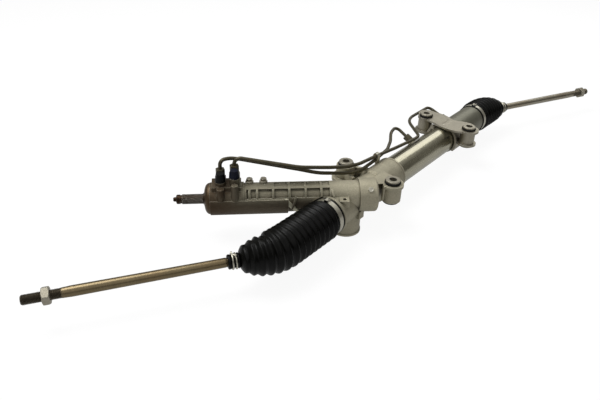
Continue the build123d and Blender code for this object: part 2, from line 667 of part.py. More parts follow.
# ---------------------------------------------------------------- rack bar
TOOTH_ZONE_START = PINION_X - TRAVEL_RIGHT - TOOTH_ZONE_MARGIN
TOOTH_ZONE_END = PINION_X + TRAVEL_LEFT + TOOTH_ZONE_MARGIN
BAR_START_X = LEFT_BALL_X + SOCKET_BACK + WASHER_THICK
BAR_END_X = RIGHT_BALL_X - SOCKET_BACK - WASHER_THICK
STUD_R = 8.0
STUD_LENGTH = 20.0
tooth_line = Vector(-sin(radians(RACK_TOOTH_ANGLE)), cos(radians(RACK_TOOTH_ANGLE)), 0)
flank = tan(radians(PRESSURE_ANGLE))
reference_z = TOOTH_FLAT_Z - MODULE
space_half = NORMAL_PITCH / 4 + BACKLASH / 2
with BuildPart() as rack_bar:
    with BuildSketch(Plane.YZ.offset(BAR_START_X)):
        Circle(RACK_R)
    extrude(amount=BAR_END_X - BAR_START_X)
    chamfer(rack_bar.edges().filter_by(GeomType.CIRCLE), 1.0)
    # flat over the teeth
    with BuildSketch(Plane.XY.offset(TOOTH_FLAT_Z)):
        with Locations(((TOOTH_ZONE_START + TOOTH_ZONE_END) / 2, 0)):
            Rectangle(TOOTH_ZONE_END - TOOTH_ZONE_START, 2 * RACK_R)
    extrude(amount=RACK_R, mode=Mode.SUBTRACT)
    # tooth spaces, one of them centred on the pinion
    first = -int((PINION_X - TOOTH_ZONE_START - 4) / AXIAL_PITCH)
    last = int((TOOTH_ZONE_END - PINION_X - 4) / AXIAL_PITCH)
    for index in range(first, last + 1):
        centre = Vector(PINION_X + index * AXIAL_PITCH, 0, 0) - tooth_line * 22
        section = Plane(origin=centre, x_dir=tooth_line.cross(Vector(0, 0, 1)), z_dir=tooth_line)
        top = space_half + (TOOTH_FLAT_Z + 1 - reference_z) * flank
        bottom = space_half - (reference_z - RACK_ROOT_Z) * flank
        high = section.to_local_coords(centre + Vector(0, 0, TOOTH_FLAT_Z + 1)).Y
        low = section.to_local_coords(centre + Vector(0, 0, RACK_ROOT_Z)).Y
        with BuildSketch(section):
            with BuildLine():
                Polyline((-top, high), (top, high), (bottom, low), (-bottom, low), close=True)
            make_face()
        extrude(amount=44, mode=Mode.SUBTRACT)
    # threaded bores for the ball sockets, shown at their outside diameter
    with BuildSketch(Plane.YZ.offset(BAR_START_X)):
        Circle(STUD_R + SEAT)
    extrude(amount=STUD_LENGTH + 2, mode=Mode.SUBTRACT)
    with BuildSketch(Plane.YZ.offset(BAR_END_X)):
        Circle(STUD_R + SEAT)
    extrude(amount=-STUD_LENGTH - 2, mode=Mode.SUBTRACT)
finish(rack_bar, "rack_bar")

PISTON_R = TUBE_R - TUBE_WALL - 0.4
piston = turned(
    RACK_PROFILE,
    [
        (PISTON_X - PISTON_WIDTH / 2, RACK_R + SEAT),
        (PISTON_X - PISTON_WIDTH / 2, PISTON_R),
        (PISTON_X - 3, PISTON_R),
        (PISTON_X - 3, PISTON_R - 3),
        (PISTON_X + 3, PISTON_R - 3),
        (PISTON_X + 3, PISTON_R),
        (PISTON_X + PISTON_WIDTH / 2, PISTON_R),
        (PISTON_X + PISTON_WIDTH / 2, RACK_R + SEAT),
    ],
)
finish(piston, "piston")
piston_ring = ring(
    RACK_PROFILE, PISTON_X - 3 + SEAT, PISTON_X + 3 - SEAT, TUBE_R - TUBE_WALL - RUNNING, PISTON_R - 3 + SEAT
)
finish(piston_ring, "piston_ring")

# ---------------------------------------------------------------- pinion, valve and input shaft
JOURNAL_R = 6.2
UPPER_JOURNAL_R = 10.5
SHANK_R = 9.0
SHANK_END = 159.0
BAR_BORE_R = 4.6
BAR_SEAT_R = 4.2


def involute_angle(radius):
    """Half the tooth's angle at a radius of the pinion's transverse section."""
    transverse = transverse_angle()
    base_r = PITCH_R * cos(transverse)
    normal_thickness = MODULE * (pi / 2 + 2 * PROFILE_SHIFT * tan(radians(PRESSURE_ANGLE)))
    at_pitch = normal_thickness / cos(HELIX) / (2 * PITCH_R)
    here = acos(min(1.0, base_r / radius))
    return at_pitch + tan(transverse) - transverse - (tan(here) - here)


def transverse_angle():
    """Pressure angle in the pinion's transverse section."""
    slope = tan(radians(PRESSURE_ANGLE)) / cos(HELIX)
    return acos(1 / sqrt(1 + slope * slope))


def pinion_section():
    """Outline of the pinion's teeth, with the first tooth pointing down at the rack."""
    base_r = PITCH_R * cos(transverse_angle())
    root_r = PITCH_R - MODULE * (1.25 - PROFILE_SHIFT)
    radii = [base_r + (PINION_TIP_R - base_r) * share for share in (0, 0.12, 0.4, 0.7, 1)]

    def at(radius, angle):
        return (radius * cos(angle), radius * sin(angle))

    with BuildSketch(TOWER.offset(-PINION_FACE / 2)) as section:
        with BuildLine():
            for tooth in range(PINION_TEETH):
                middle = -pi / 2 + tooth * 2 * pi / PINION_TEETH
                after = middle + 2 * pi / PINION_TEETH
                wide = involute_angle(base_r)
                rising = [at(r, middle - involute_angle(r)) for r in radii]
                falling = [at(r, middle + involute_angle(r)) for r in reversed(radii)]
                Line(at(root_r, middle - wide), rising[0])
                Spline(*rising)
                ThreePointArc(rising[-1], at(PINION_TIP_R, middle), falling[0])
                Spline(*falling)
                Line(falling[-1], at(root_r, middle + wide))
                ThreePointArc(
                    at(root_r, middle + wide), at(root_r, (middle + after) / 2), at(root_r, after - wide)
                )
        make_face()
    return section


# the section turns about the tower's axis as the helix rises; half of the turn lies before the rack's axis
HELIX_TURN = -PINION_FACE * tan(HELIX) / PITCH_R * 180 / pi
start_face = pinion_section().sketch.faces()[0].rotate(Axis(TOWER.origin, TOWER_DIR), -HELIX_TURN / 2)
helical_teeth = Solid.extrude_linear_with_rotation(
    start_face, on_tower(-PINION_FACE / 2), TOWER_DIR * PINION_FACE, HELIX_TURN
)
with BuildPart() as pinion_shaft:
    add(helical_teeth)
    with BuildSketch(TOWER_PROFILE):
        with BuildLine():
            Polyline(
                (CAP_START + 0.3, 0),
                (CAP_START + 0.3, JOURNAL_R - 1.5),
                (LOWER_BEARING_START - 0.5, JOURNAL_R - 1.5),
                (LOWER_BEARING_START - 0.5, JOURNAL_R),
                (PINION_FACE / 2 + 7, JOURNAL_R),
                (PINION_FACE / 2 + 9, UPPER_JOURNAL_R),
                (UPPER_BEARING_END + 2, UPPER_JOURNAL_R),
                (UPPER_BEARING_END + 4, SHANK_R),
                (SHANK_END, SHANK_R),
                (SHANK_END, 0),
                close=True,
            )
        make_face()
    revolve(axis=Axis(TOWER.origin, TOWER_DIR))
    with BuildSketch(TOWER.offset(10)):
        Circle(BAR_SEAT_R)
    extrude(amount=16, mode=Mode.SUBTRACT)
    with BuildSketch(TOWER.offset(26)):
        Circle(BAR_BORE_R)
    extrude(amount=SHANK_END, mode=Mode.SUBTRACT)
finish(pinion_shaft, "pinion_shaft")

with BuildPart() as pinion_nut:
    with BuildSketch(TOWER.offset(CAP_START + 0.6)):
        RegularPolygon(9.5, 6)
        Circle(JOURNAL_R - 1.5 + SEAT, mode=Mode.SUBTRACT)
    extrude(amount=LOWER_BEARING_START - 0.6 - CAP_START - 0.6)
finish(pinion_nut, "pinion_nut")

valve_grooves = []
for groove in range(4):
    start = SLEEVE_VALVE_START + 8 + groove * 9
    valve_grooves += [
        (start, SLEEVE_VALVE_R),
        (start, SLEEVE_VALVE_R - 1.5),
        (start + 3, SLEEVE_VALVE_R - 1.5),
        (start + 3, SLEEVE_VALVE_R),
    ]
INPUT_ROTOR_R = 12.0
valve_sleeve = turned(
    TOWER_PROFILE,
    [
        (VALVE_COLLAR_START + 2, SHANK_R + SEAT),
        (VALVE_COLLAR_START + 2, SHANK_R + 3),
        (SHANK_END + 1, SHANK_R + 4.5),
        (SLEEVE_VALVE_START + 1, SHANK_R + 4.5),
        (SLEEVE_VALVE_START + 1, SLEEVE_VALVE_R),
        *valve_grooves,
        (END_THREAD_START - 3, SLEEVE_VALVE_R),
        (END_THREAD_START - 3, INPUT_ROTOR_R + RUNNING),
        (SLEEVE_VALVE_START + 1, INPUT_ROTOR_R + RUNNING),
        (SHANK_END + 1, SHANK_R + SEAT),
    ],
)
finish(valve_sleeve, "valve_sleeve")

torsion_bar = turned(
    TOWER_PROFILE,
    [
        (11, 0),
        (11, BAR_SEAT_R - SEAT),
        (25, BAR_SEAT_R - SEAT),
        (30, BAR_BORE_R - 1.4),
        (172, BAR_BORE_R - 1.4),
        (178, BAR_SEAT_R - SEAT),
        (196, BAR_SEAT_R - SEAT),
        (196, 0),
    ],
)
finish(torsion_bar, "torsion_bar")

INPUT_NECK_R = 9.0
END_COVER_TIP = SPLINE_START - 1
with BuildPart() as input_shaft:
    with BuildSketch(TOWER_PROFILE):
        with BuildLine():
            Polyline(
                (SLEEVE_VALVE_START + 3, 0),
                (SLEEVE_VALVE_START + 3, INPUT_ROTOR_R),
                (END_THREAD_START - 2, INPUT_ROTOR_R),
                (END_THREAD_START - 2, INPUT_NECK_R),
                (SPLINE_START, INPUT_NECK_R),
                (SPLINE_START, SPLINE_R - 1),
                (SPLINE_END + 3, SPLINE_R - 1.2),
                (SPLINE_END + 3, SPLINE_R - 0.4),
                (SHAFT_END - 1, SPLINE_R - 0.4),
                (SHAFT_END, SPLINE_R - 1.4),
                (SHAFT_END, 3.8),
                (PILOT_END - 1, 3.4),
                (PILOT_END, 2.4),
                (PILOT_END, 0),
                close=True,
            )
        make_face()
    revolve(axis=Axis(TOWER.origin, TOWER_DIR))
    # coarse splines, with the clamp bolt's groove left clear
    with BuildSketch(TOWER.offset(SPLINE_START + 0.5)):
        Circle(SPLINE_R)
        with PolarLocations(SPLINE_R, SPLINE_TEETH):
            Rectangle(1.6, 1.0, mode=Mode.SUBTRACT)
    extrude(amount=SPLINE_END - SPLINE_START - 0.5)
    with BuildSketch(TOWER.offset(SLEEVE_VALVE_START + 2)):
        Circle(BAR_SEAT_R + SEAT)
    extrude(amount=198 - SLEEVE_VALVE_START - 2, mode=Mode.SUBTRACT)
finish(input_shaft, "input_shaft")

lower_bearing = turned(
    TOWER_PROFILE,
    [
        (LOWER_BEARING_START, JOURNAL_R + RUNNING),
        (LOWER_BEARING_START, 8.2),
        (LOWER_BEARING_START + 1, 8.6),
        (LOWER_BEARING_START + 1, 10.2),
        (LOWER_BEARING_START, 10.6),
        (LOWER_BEARING_START, LOWER_BEARING_R - SEAT),
        (LOWER_BEARING_END - SEAT, LOWER_BEARING_R - SEAT),
        (LOWER_BEARING_END - SEAT, JOURNAL_R + RUNNING),
    ],
)
finish(lower_bearing, "pinion_lower_bearing")
upper_bearing = ring(
    TOWER_PROFILE,
    UPPER_BEARING_START + SEAT,
    UPPER_BEARING_END - SEAT,
    UPPER_BEARING_R - SEAT,
    UPPER_JOURNAL_R + RUNNING,
)
finish(upper_bearing, "pinion_upper_bearing")
bearing_cap = turned(
    TOWER_PROFILE,
    [
        (PINION_BOSS_END - 1.5, 0),
        (PINION_BOSS_END - 1.5, 12),
        (PINION_BOSS_END, CAP_R - SEAT),
        (CAP_START - SEAT, CAP_R - SEAT),
        (CAP_START - SEAT, 0),
    ],
)
finish(bearing_cap, "lower_bearing_cap")

SEAL_R = SLEEVE_VALVE_R - 1
input_seal = ring(TOWER_PROFILE, END_THREAD_START, END_THREAD_START + 5, SEAL_R, INPUT_NECK_R + RUNNING)
finish(input_seal, "input_shaft_seal")
input_bearing = ring(
    TOWER_PROFILE, END_THREAD_START + 5.5, VALVE_END - 0.5, SEAL_R - 2, INPUT_NECK_R + RUNNING
)
finish(input_bearing, "input_shaft_bearing")
with BuildPart() as end_cover:
    with BuildSketch(TOWER_PROFILE):
        with BuildLine():
            Polyline(
                (VALVE_END + 5, INPUT_NECK_R + 0.6),
                (VALVE_END + 5, SEAL_R - 2 + SEAT),
                (END_THREAD_START + 5.2, SEAL_R - 2 + SEAT),
                (END_THREAD_START + 5.2, SEAL_R + SEAT),
                (END_THREAD_START + 0.2, SEAL_R + SEAT),
                (END_THREAD_START + 0.2, SLEEVE_VALVE_R + 2 - SEAT),
                (VALVE_END + SEAT, SLEEVE_VALVE_R + 2 - SEAT),
                (VALVE_END + SEAT, VALVE_R - 0.4),
                (VALVE_END + 2.5, VALVE_R - 0.8),
            )
            Spline(
                (VALVE_END + 2.5, VALVE_R - 0.8),
                (VALVE_END + 7, VALVE_R - 5),
                (END_COVER_TIP - 1, INPUT_NECK_R + 5),
                (END_COVER_TIP, INPUT_NECK_R + 0.6),
            )
            Line((END_COVER_TIP, INPUT_NECK_R + 0.6), (VALVE_END + 5, INPUT_NECK_R + 0.6))
        make_face()
    revolve(axis=Axis(TOWER.origin, TOWER_DIR))
finish(end_cover, "valve_end_cover")

# ---------------------------------------------------------------- rack yoke, spring, adjuster and lock nut
YOKE_TOP_Z = -3.0
YOKE_BOTTOM_Z = -24.0
ADJUSTER_TOP_Z = -37.0
SPRING_WIRE = 2.6
SPRING_R = 9.0
with BuildPart() as yoke:
    with BuildSketch(Plane.XY.offset(YOKE_BOTTOM_Z)):
        with Locations((PINION_X, 0)):
            Circle(YOKE_R)
    extrude(amount=YOKE_TOP_Z - YOKE_BOTTOM_Z)
    with BuildSketch(Plane.YZ.offset(PINION_X - YOKE_R - 1)):
        Circle(RACK_R + RUNNING)
    extrude(amount=2 * YOKE_R + 2, mode=Mode.SUBTRACT)
    with BuildSketch(Plane.XY.offset(YOKE_BOTTOM_Z)):
        with Locations((PINION_X, 0)):
            Circle(SPRING_R + SPRING_WIRE / 2 + 1)
    extrude(amount=5, mode=Mode.SUBTRACT)
finish(yoke, "rack_yoke")

adjuster_blank = turned(
    Plane(origin=(PINION_X, 0, 0), x_dir=(0, 0, 1), z_dir=(1, 0, 0)),
    [
        (YOKE_HOUSING_BOTTOM_Z + 2, 0),
        (YOKE_HOUSING_BOTTOM_Z + 2, YOKE_R - SEAT),
        (ADJUSTER_TOP_Z, YOKE_R - SEAT),
        (ADJUSTER_TOP_Z, SPRING_R + SPRING_WIRE / 2 + 1),
        (ADJUSTER_TOP_Z - 5, SPRING_R + SPRING_WIRE / 2 + 1),
        (ADJUSTER_TOP_Z - 5, 0),
    ],
)
with BuildPart() as adjuster:
    add(adjuster_blank.part)
    with BuildSketch(Plane.XY.offset(YOKE_HOUSING_BOTTOM_Z + 2)):
        with Locations((PINION_X, 0)):
            RegularPolygon(7, 6)
    extrude(amount=2.5, mode=Mode.SUBTRACT)
finish(adjuster, "yoke_adjuster")

SPRING_START_Z = ADJUSTER_TOP_Z - 5 + SPRING_WIRE / 2 + 0.1
SPRING_END_Z = YOKE_BOTTOM_Z + 5 - SPRING_WIRE / 2 - 0.1
SPRING_HEIGHT = SPRING_END_Z - SPRING_START_Z
SPRING_TURNS = 4
spring_centre = Vector(PINION_X, 0, SPRING_START_Z)
with BuildPart() as yoke_spring:
    with BuildLine() as coil:
        Helix(SPRING_HEIGHT / SPRING_TURNS, SPRING_HEIGHT, SPRING_R, center=spring_centre)
    with BuildSketch(Plane(origin=coil.line @ 0, z_dir=coil.line % 0)):
        RegularPolygon(SPRING_WIRE / 2, 6)
    sweep(is_frenet=True)
finish(yoke_spring, "yoke_spring")

# ---------------------------------------------------------------- ball sockets, seats and tie rods
ROD_TIP = TIE_ROD_LENGTH
THREAD_START = ROD_TIP - ROD_THREAD_LENGTH
SIDES = {
    "left": (LEFT_BALL_X, -1, LEFT_ROD_DIR, 295.0),
    "right": (RIGHT_BALL_X, 1, RIGHT_ROD_DIR, 304.0),
}
MOUTH_X = 4.6
MOUTH_R = sqrt((SEAT_R + RUNNING) ** 2 - MOUTH_X**2)
# behind the jam nut's face the thread stands at its pitch radius, where the nut's own thread meets it
THREAD_BACK_R = ROD_THREAD_R - THREAD_PITCH_DEPTH
NUT_THREAD_R = THREAD_BACK_R + RUNNING
for side, (ball_x, outward_x, direction, nut_station) in SIDES.items():
    outward = rack_end_profile(ball_x, outward_x)
    along = rod_profile(ball_x, direction)

    # socket: stud into the rack, round body, spherical chamber and open mouth
    with BuildPart() as socket:
        with BuildSketch(outward):
            with BuildLine():
                Polyline(
                    (-SOCKET_BACK - WASHER_THICK - STUD_LENGTH, 0),
                    (-SOCKET_BACK - WASHER_THICK - STUD_LENGTH, STUD_R),
                    (-SOCKET_BACK, STUD_R),
                    (-SOCKET_BACK, SOCKET_R),
                    (MOUTH_X, SOCKET_R),
                    (SOCKET_FRONT - 5, SOCKET_R - 1.5),
                    (SOCKET_FRONT - 5, 0),
                    close=True,
                )
            make_face()
        revolve(axis=Axis(outward.origin, outward.x_dir))
        with BuildSketch(outward):
            with BuildLine():
                Line((-SEAT_R - RUNNING, 0), (SOCKET_FRONT, 0))
                Polyline((SOCKET_FRONT, 0), (SOCKET_FRONT, SEAT_R + 1.2), (MOUTH_X, MOUTH_R))
                ThreePointArc(
                    (MOUTH_X, MOUTH_R),
                    (-(SEAT_R + RUNNING) * 0.6, (SEAT_R + RUNNING) * 0.8),
                    (-SEAT_R - RUNNING, 0),
                )
            make_face()
        revolve(axis=Axis(outward.origin, outward.x_dir), mode=Mode.SUBTRACT)
    finish(socket, f"ball_socket_{side}")

    washer_back = -SOCKET_BACK - WASHER_THICK + SEAT
    lock_washer = ring(outward, washer_back, -SOCKET_BACK - SEAT, SOCKET_R + 0.8, STUD_R + SEAT)
    finish(lock_washer, f"lock_washer_{side}")

    # plastic seat: a spherical shell round the ball, open towards the rod
    with BuildPart() as ball_seat:
        Sphere(SEAT_R)
        Sphere(BALL_R + RUNNING, mode=Mode.SUBTRACT)
        with BuildSketch(Plane.XY.offset(MOUTH_X - 0.4)):
            Circle(2 * SEAT_R)
        extrude(amount=SEAT_R, mode=Mode.SUBTRACT)
    ball_seat.part.locate(Plane(origin=(ball_x, 0, 0), x_dir=(0, 1, 0), z_dir=(outward_x, 0, 0)).location)
    finish(ball_seat, f"ball_seat_{side}")

    # tie rod: ball, neck, boot seat, tapered shank and threaded end
    neck_joint = sqrt(BALL_R**2 - ROD_NECK_R**2)
    with BuildPart() as tie_rod:
        with BuildSketch(along):
            with BuildLine():
                ThreePointArc((-BALL_R, 0), (0, BALL_R), (neck_joint, ROD_NECK_R))
                Polyline(
                    (neck_joint, ROD_NECK_R),
                    (SMALL_CUFF_START + SMALL_CUFF_LENGTH, ROD_NECK_R),
                    (SMALL_CUFF_START + SMALL_CUFF_LENGTH + 1, ROD_NECK_R + 0.6),
                    (THREAD_START - 14, ROD_R),
                    (THREAD_START, THREAD_BACK_R),
                    (nut_station + NUT_THICK + 1, THREAD_BACK_R),
                    (nut_station + NUT_THICK + 1, ROD_THREAD_R),
                    (ROD_TIP - 1.5, ROD_THREAD_R),
                    (ROD_TIP, ROD_THREAD_R - 1.5),
                    (ROD_TIP, 0),
                )
                Line((ROD_TIP, 0), (-BALL_R, 0))
            make_face()
        revolve(axis=Axis(along.origin, along.x_dir))
    finish(tie_rod, f"tie_rod_{side}")

    # jam nut, chamfered on its corners
    hexagon = Plane(origin=along.origin + direction * nut_station, x_dir=(0, 0, 1), z_dir=direction)
    with BuildPart() as jam_nut:
        with BuildSketch(hexagon):
            RegularPolygon(NUT_ACROSS_FLATS / 2, 6, major_radius=False)
            Circle(NUT_THREAD_R, mode=Mode.SUBTRACT)
        extrude(amount=NUT_THICK)
        with BuildSketch(along):
            with BuildLine():
                corner = NUT_ACROSS_FLATS / sqrt(3)
                Polyline(
                    (nut_station - 2, NUT_THREAD_R),
                    (nut_station, NUT_ACROSS_FLATS / 2 - 0.6),
                    (nut_station + 1.4, corner),
                    (nut_station + NUT_THICK - 1.4, corner),
                    (nut_station + NUT_THICK, NUT_ACROSS_FLATS / 2 - 0.6),
                    (nut_station + NUT_THICK + 2, NUT_THREAD_R),
                    close=True,
                )
            make_face()
        revolve(axis=Axis(along.origin, along.x_dir), mode=Mode.INTERSECT)
    finish(jam_nut, f"jam_nut_{side}")

# ---------------------------------------------------------------- boots and their clamps
BOOT_INNER_R = 25.5
SHOULDER_END_R = 11.0
LARGE_CUFF_R = BOOT_LAND_R + BOOT_WALL
SMALL_CUFF_R = ROD_NECK_R + 3.2


def boot_stations(face_x, ball_x, outward_x, direction, inside):
    """Circles of a boot's skin: (centre, axis, radius), from its large cuff to its small one.

    The centre line follows the rack's axis to the ball and the tie rod beyond it, eased over the bend, and
    the rings tilt with it. Towards the small cuff the pleats shrink by a quarter of an ellipse.
    """
    rack_axis = Vector(outward_x, 0, 0)
    straight = abs(ball_x - face_x)
    total = straight + SMALL_CUFF_START
    bend = 0.6 * min(straight, SMALL_CUFF_START)

    def frame(s):
        blend = min(1.0, max(0.0, (s - straight + bend) / (2 * bend)))
        axis = (rack_axis * (1 - blend) + direction * blend).normalized()
        if s < straight - bend:
            return Vector(face_x, 0, 0) + rack_axis * s, axis
        if s > straight + bend:
            return Vector(ball_x, 0, 0) + direction * (s - straight), axis
        start = Vector(ball_x, 0, 0) - rack_axis * bend
        end = Vector(ball_x, 0, 0) + direction * bend
        corner = Vector(ball_x, 0, 0)
        return start * (1 - blend) ** 2 + corner * (2 * blend * (1 - blend)) + end * blend**2, axis

    rings = []
    steps = 2 * round(total / BOOT_PITCH)
    for step in range(steps + 1):
        s = total * step / steps
        full = sqrt(1 - (1 - min(1.0, (total - s) / BOOT_SHOULDER_LENGTH)) ** 2)
        crest = SHOULDER_END_R + (BOOT_R - SHOULDER_END_R) * full
        root = crest - 2 - (PLEAT_DEPTH - 2) * full
        bore = ROD_NECK_R + 1 + (BOOT_INNER_R - ROD_NECK_R - 1) * full
        radius = bore if inside else (crest if step % 2 else root)
        if step == 0 and not inside:
            radius = LARGE_CUFF_R
        if step == steps:
            radius = ROD_NECK_R + SEAT if inside else SMALL_CUFF_R
        centre, axis = frame(s)
        if not inside or step % 2 == 0:
            rings.append((centre, axis, radius))
    return rings


def skin(rings):
    """A solid through the rings, with straight walls between one ring and the next."""
    with BuildPart() as body:
        for centre, axis, radius in rings:
            with BuildSketch(Plane(origin=centre, x_dir=(0, 0, 1), z_dir=axis)):
                Circle(radius)
        loft(ruled=True)
    return body.part


BOOT_SIDES = {
    "left": (LEFT_CLAMP_X, LEFT_BALL_X, -1, LEFT_ROD_DIR),
    "right": (RIGHT_CLAMP_X, RIGHT_BALL_X, 1, RIGHT_ROD_DIR),
}
for side, (clamp_x, ball_x, outward_x, direction) in BOOT_SIDES.items():
    face_x = clamp_x + outward_x * BOOT_CUFF_LENGTH / 2
    cuff = rack_end_profile(clamp_x, outward_x)
    along = rod_profile(ball_x, direction)
    half_cuff = BOOT_CUFF_LENGTH / 2
    small_end = SMALL_CUFF_START + SMALL_CUFF_LENGTH - 1
    with BuildPart() as boot:
        add(skin(boot_stations(face_x, ball_x, outward_x, direction, False)))
        with BuildSketch(cuff):
            with BuildLine():
                Polyline((-half_cuff + SEAT, 0), (-half_cuff + SEAT, LARGE_CUFF_R), (half_cuff, LARGE_CUFF_R))
                Polyline((half_cuff, LARGE_CUFF_R), (half_cuff, 0), (-half_cuff + SEAT, 0))
            make_face()
        revolve(axis=Axis(cuff.origin, cuff.x_dir))
        with BuildSketch(Plane(origin=along.origin + direction * SMALL_CUFF_START, z_dir=direction)):
            Circle(SMALL_CUFF_R)
        extrude(amount=small_end - SMALL_CUFF_START)
        add(skin(boot_stations(face_x, ball_x, outward_x, direction, True)), mode=Mode.SUBTRACT)
        with BuildSketch(cuff):
            with BuildLine():
                land_r = BOOT_LAND_R + SEAT
                Polyline((-half_cuff - 1, 0), (-half_cuff - 1, land_r), (half_cuff + 1.4, land_r))
                Polyline((half_cuff + 1.4, land_r), (half_cuff + 1.4, 0), (-half_cuff - 1, 0))
            make_face()
        revolve(axis=Axis(cuff.origin, cuff.x_dir), mode=Mode.SUBTRACT)
        with BuildSketch(Plane(origin=along.origin + direction * (SMALL_CUFF_START - 1), z_dir=direction)):
            Circle(ROD_NECK_R + SEAT)
        extrude(amount=SMALL_CUFF_LENGTH + 4, mode=Mode.SUBTRACT)
    finish(boot, f"boot_{side}")

    band = ring(cuff, -4.5, 4.5, LARGE_CUFF_R + SEAT + 1.0, LARGE_CUFF_R + SEAT)
    with BuildPart() as large_clamp:
        add(band.part)
        with BuildSketch(Plane(origin=(clamp_x, 0, LARGE_CUFF_R + 0.6), z_dir=(0, 0, 1))):
            Rectangle(9, 7)
        extrude(amount=4)
    finish(large_clamp, f"boot_clamp_large_{side}")

    small_clamp = ring(
        along, SMALL_CUFF_START + 4, SMALL_CUFF_START + 12, SMALL_CUFF_R + SEAT + 0.9, SMALL_CUFF_R + SEAT
    )
    finish(small_clamp, f"boot_clamp_small_{side}")

# ---------------------------------------------------------------- transfer pipes, nuts, clip and plugs
PORT_SEAT_DEPTH = 5.0
SHORT_ROUTE = [
    on_tower(PORT_1_T, PORT_PIPE_U, PORT_1_TOP - PORT_SEAT_DEPTH),
    on_tower(PORT_1_T, PORT_PIPE_U, 62),
    on_tower(PORT_2_T + 6, PORT_PIPE_U - 9, 61),
    on_tower(PORT_2_T - 10, PORT_PIPE_U - 10, 58),
    on_tower(76.2, -17.7, 39.1),
    on_tower(46.7, -19.2, 31.1),
    beside_bush(-25.5, -16.7, -0.5),
    beside_bush(-1.0, -30.4, -1.0),
    over_tube(-95.0, 60.0, 10.0),
    over_tube(-37.0, 46.0, 13.3),
    over_tube(-4.0, 34.6, 24.0),
    over_tube(22.0, 29.6, 39.7),
    over_tube(SHORT_PIPE_X, SHORT_PIPE_ELEVATION, 45),
    over_tube(SHORT_PIPE_X, SHORT_PIPE_ELEVATION, 3),
]
LONG_ROUTE = [
    on_tower(PORT_2_T, PORT_PIPE_U, PORT_2_TOP - PORT_SEAT_DEPTH),
    on_tower(PORT_2_T, PORT_PIPE_U, 67),
    on_tower(77.0, -10.1, 47.1),
    on_tower(25.7, -31.3, 34.1),
    beside_bush(-23.9, -16.0, 11.0),
    beside_bush(2.5, -25.0, 9.0),
    over_tube(-93.0, 65.0, 16.7),
    over_tube(-31.4, 62.4, 9.7),
    over_tube(30.8, 63.9, 4.8),
    over_tube(54.0, 64.4, 4.3),
    over_tube(109.4, 20.3, 50.8),
    over_tube(LONG_PIPE_X, LONG_PIPE_ELEVATION, 51),
    over_tube(LONG_PIPE_X, LONG_PIPE_ELEVATION, END_SLEEVE_WALL + 1),
]
transfer_pipes = {}
for name, route in (("short_transfer_pipe", SHORT_ROUTE), ("long_transfer_pipe", LONG_ROUTE)):
    radii = []
    for before, corner, after in zip(route, route[1:], route[2:]):
        turn = radians((corner - before).get_angle(after - corner))
        room = min((corner - before).length, (after - corner).length)
        largest = PIPE_BEND_R if before == route[0] or after == route[-1] else PIPE_SWEEP_R
        radii.append(min(largest, 0.45 * room / tan(turn / 2)))
    with BuildPart() as pipe:
        with BuildLine() as path:
            FilletPolyline(*route, radius=radii)
        with BuildSketch(Plane(origin=path.line @ 0, z_dir=path.line % 0)):
            Circle(PIPE_R)
        sweep()
    finish(pipe, name)
    transfer_pipes[name] = pipe.part

nut_places = [
    (on_tower(PORT_1_T, PORT_PIPE_U, PORT_1_TOP), Vector(0, 0, 1)),
    (on_tower(PORT_2_T, PORT_PIPE_U, PORT_2_TOP), Vector(0, 0, 1)),
    (over_tube(SHORT_PIPE_X, SHORT_PIPE_ELEVATION, PORT_BOSS_HEIGHT), short_out),
    (over_tube(LONG_PIPE_X, LONG_PIPE_ELEVATION, END_SLEEVE_WALL), long_out),
]
with BuildPart() as flare_nuts:
    for place, outward in nut_places:
        with BuildSketch(Plane(origin=place + outward * SEAT, z_dir=outward)):
            RegularPolygon(FLARE_NUT_R, 6, major_radius=False)
            Circle(PIPE_R + SEAT, mode=Mode.SUBTRACT)
        extrude(amount=FLARE_NUT_LENGTH)
finish(flare_nuts, "flare_nuts")

CLIP_X = -88.0
with BuildPart() as pipe_clip:
    with BuildSketch(Plane.YZ.offset(CLIP_X - 4)):
        with Locations((19.0, 35.6)):
            SlotCenterToCenter(7.6, 10, rotation=90)
        with Locations((17.0, 27.4)):
            Rectangle(4, 8)
    extrude(amount=8)
    with BuildSketch(Plane.YZ.offset(CLIP_X - 5)):
        Circle(COLLAR_R + SEAT)
    extrude(amount=10, mode=Mode.SUBTRACT)
    add(transfer_pipes["short_transfer_pipe"], mode=Mode.SUBTRACT)
    add(transfer_pipes["long_transfer_pipe"], mode=Mode.SUBTRACT)
finish(pipe_clip, "pipe_clip")

PLUG_R = 8.2
PLUG_DEPTH = 8.0
for name, port_t, port_top, height in (
    ("port_plug_feed", PORT_1_T, PORT_1_TOP, 14.0),
    ("port_plug_return", PORT_2_T, PORT_2_TOP, 13.0),
):
    base = on_tower(port_t, PORT_CAP_U, port_top)
    plug = turned(
        Plane(origin=base, x_dir=(0, 0, 1), z_dir=TOWER_DIR),
        [
            (-PLUG_DEPTH, 0),
            (-PLUG_DEPTH, PORT_BORE_R - RUNNING),
            (SEAT, PORT_BORE_R - RUNNING),
            (SEAT, PLUG_R),
            (3, PLUG_R),
            (height, PLUG_R - 2),
            (height, 0),
        ],
    )
    finish(plug, name)

print("pinion axis height", PINION_Z, "rack travel per turn", PINION_TEETH * AXIAL_PITCH)
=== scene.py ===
"""Rack-and-pinion steering gear: bellows, clamps, threads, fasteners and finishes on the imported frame."""

import json
import math

import bmesh
import bpy
import numpy as np
from bpy.props import FloatProperty, FloatVectorProperty, IntProperty, PointerProperty
from mathutils import Matrix, Vector


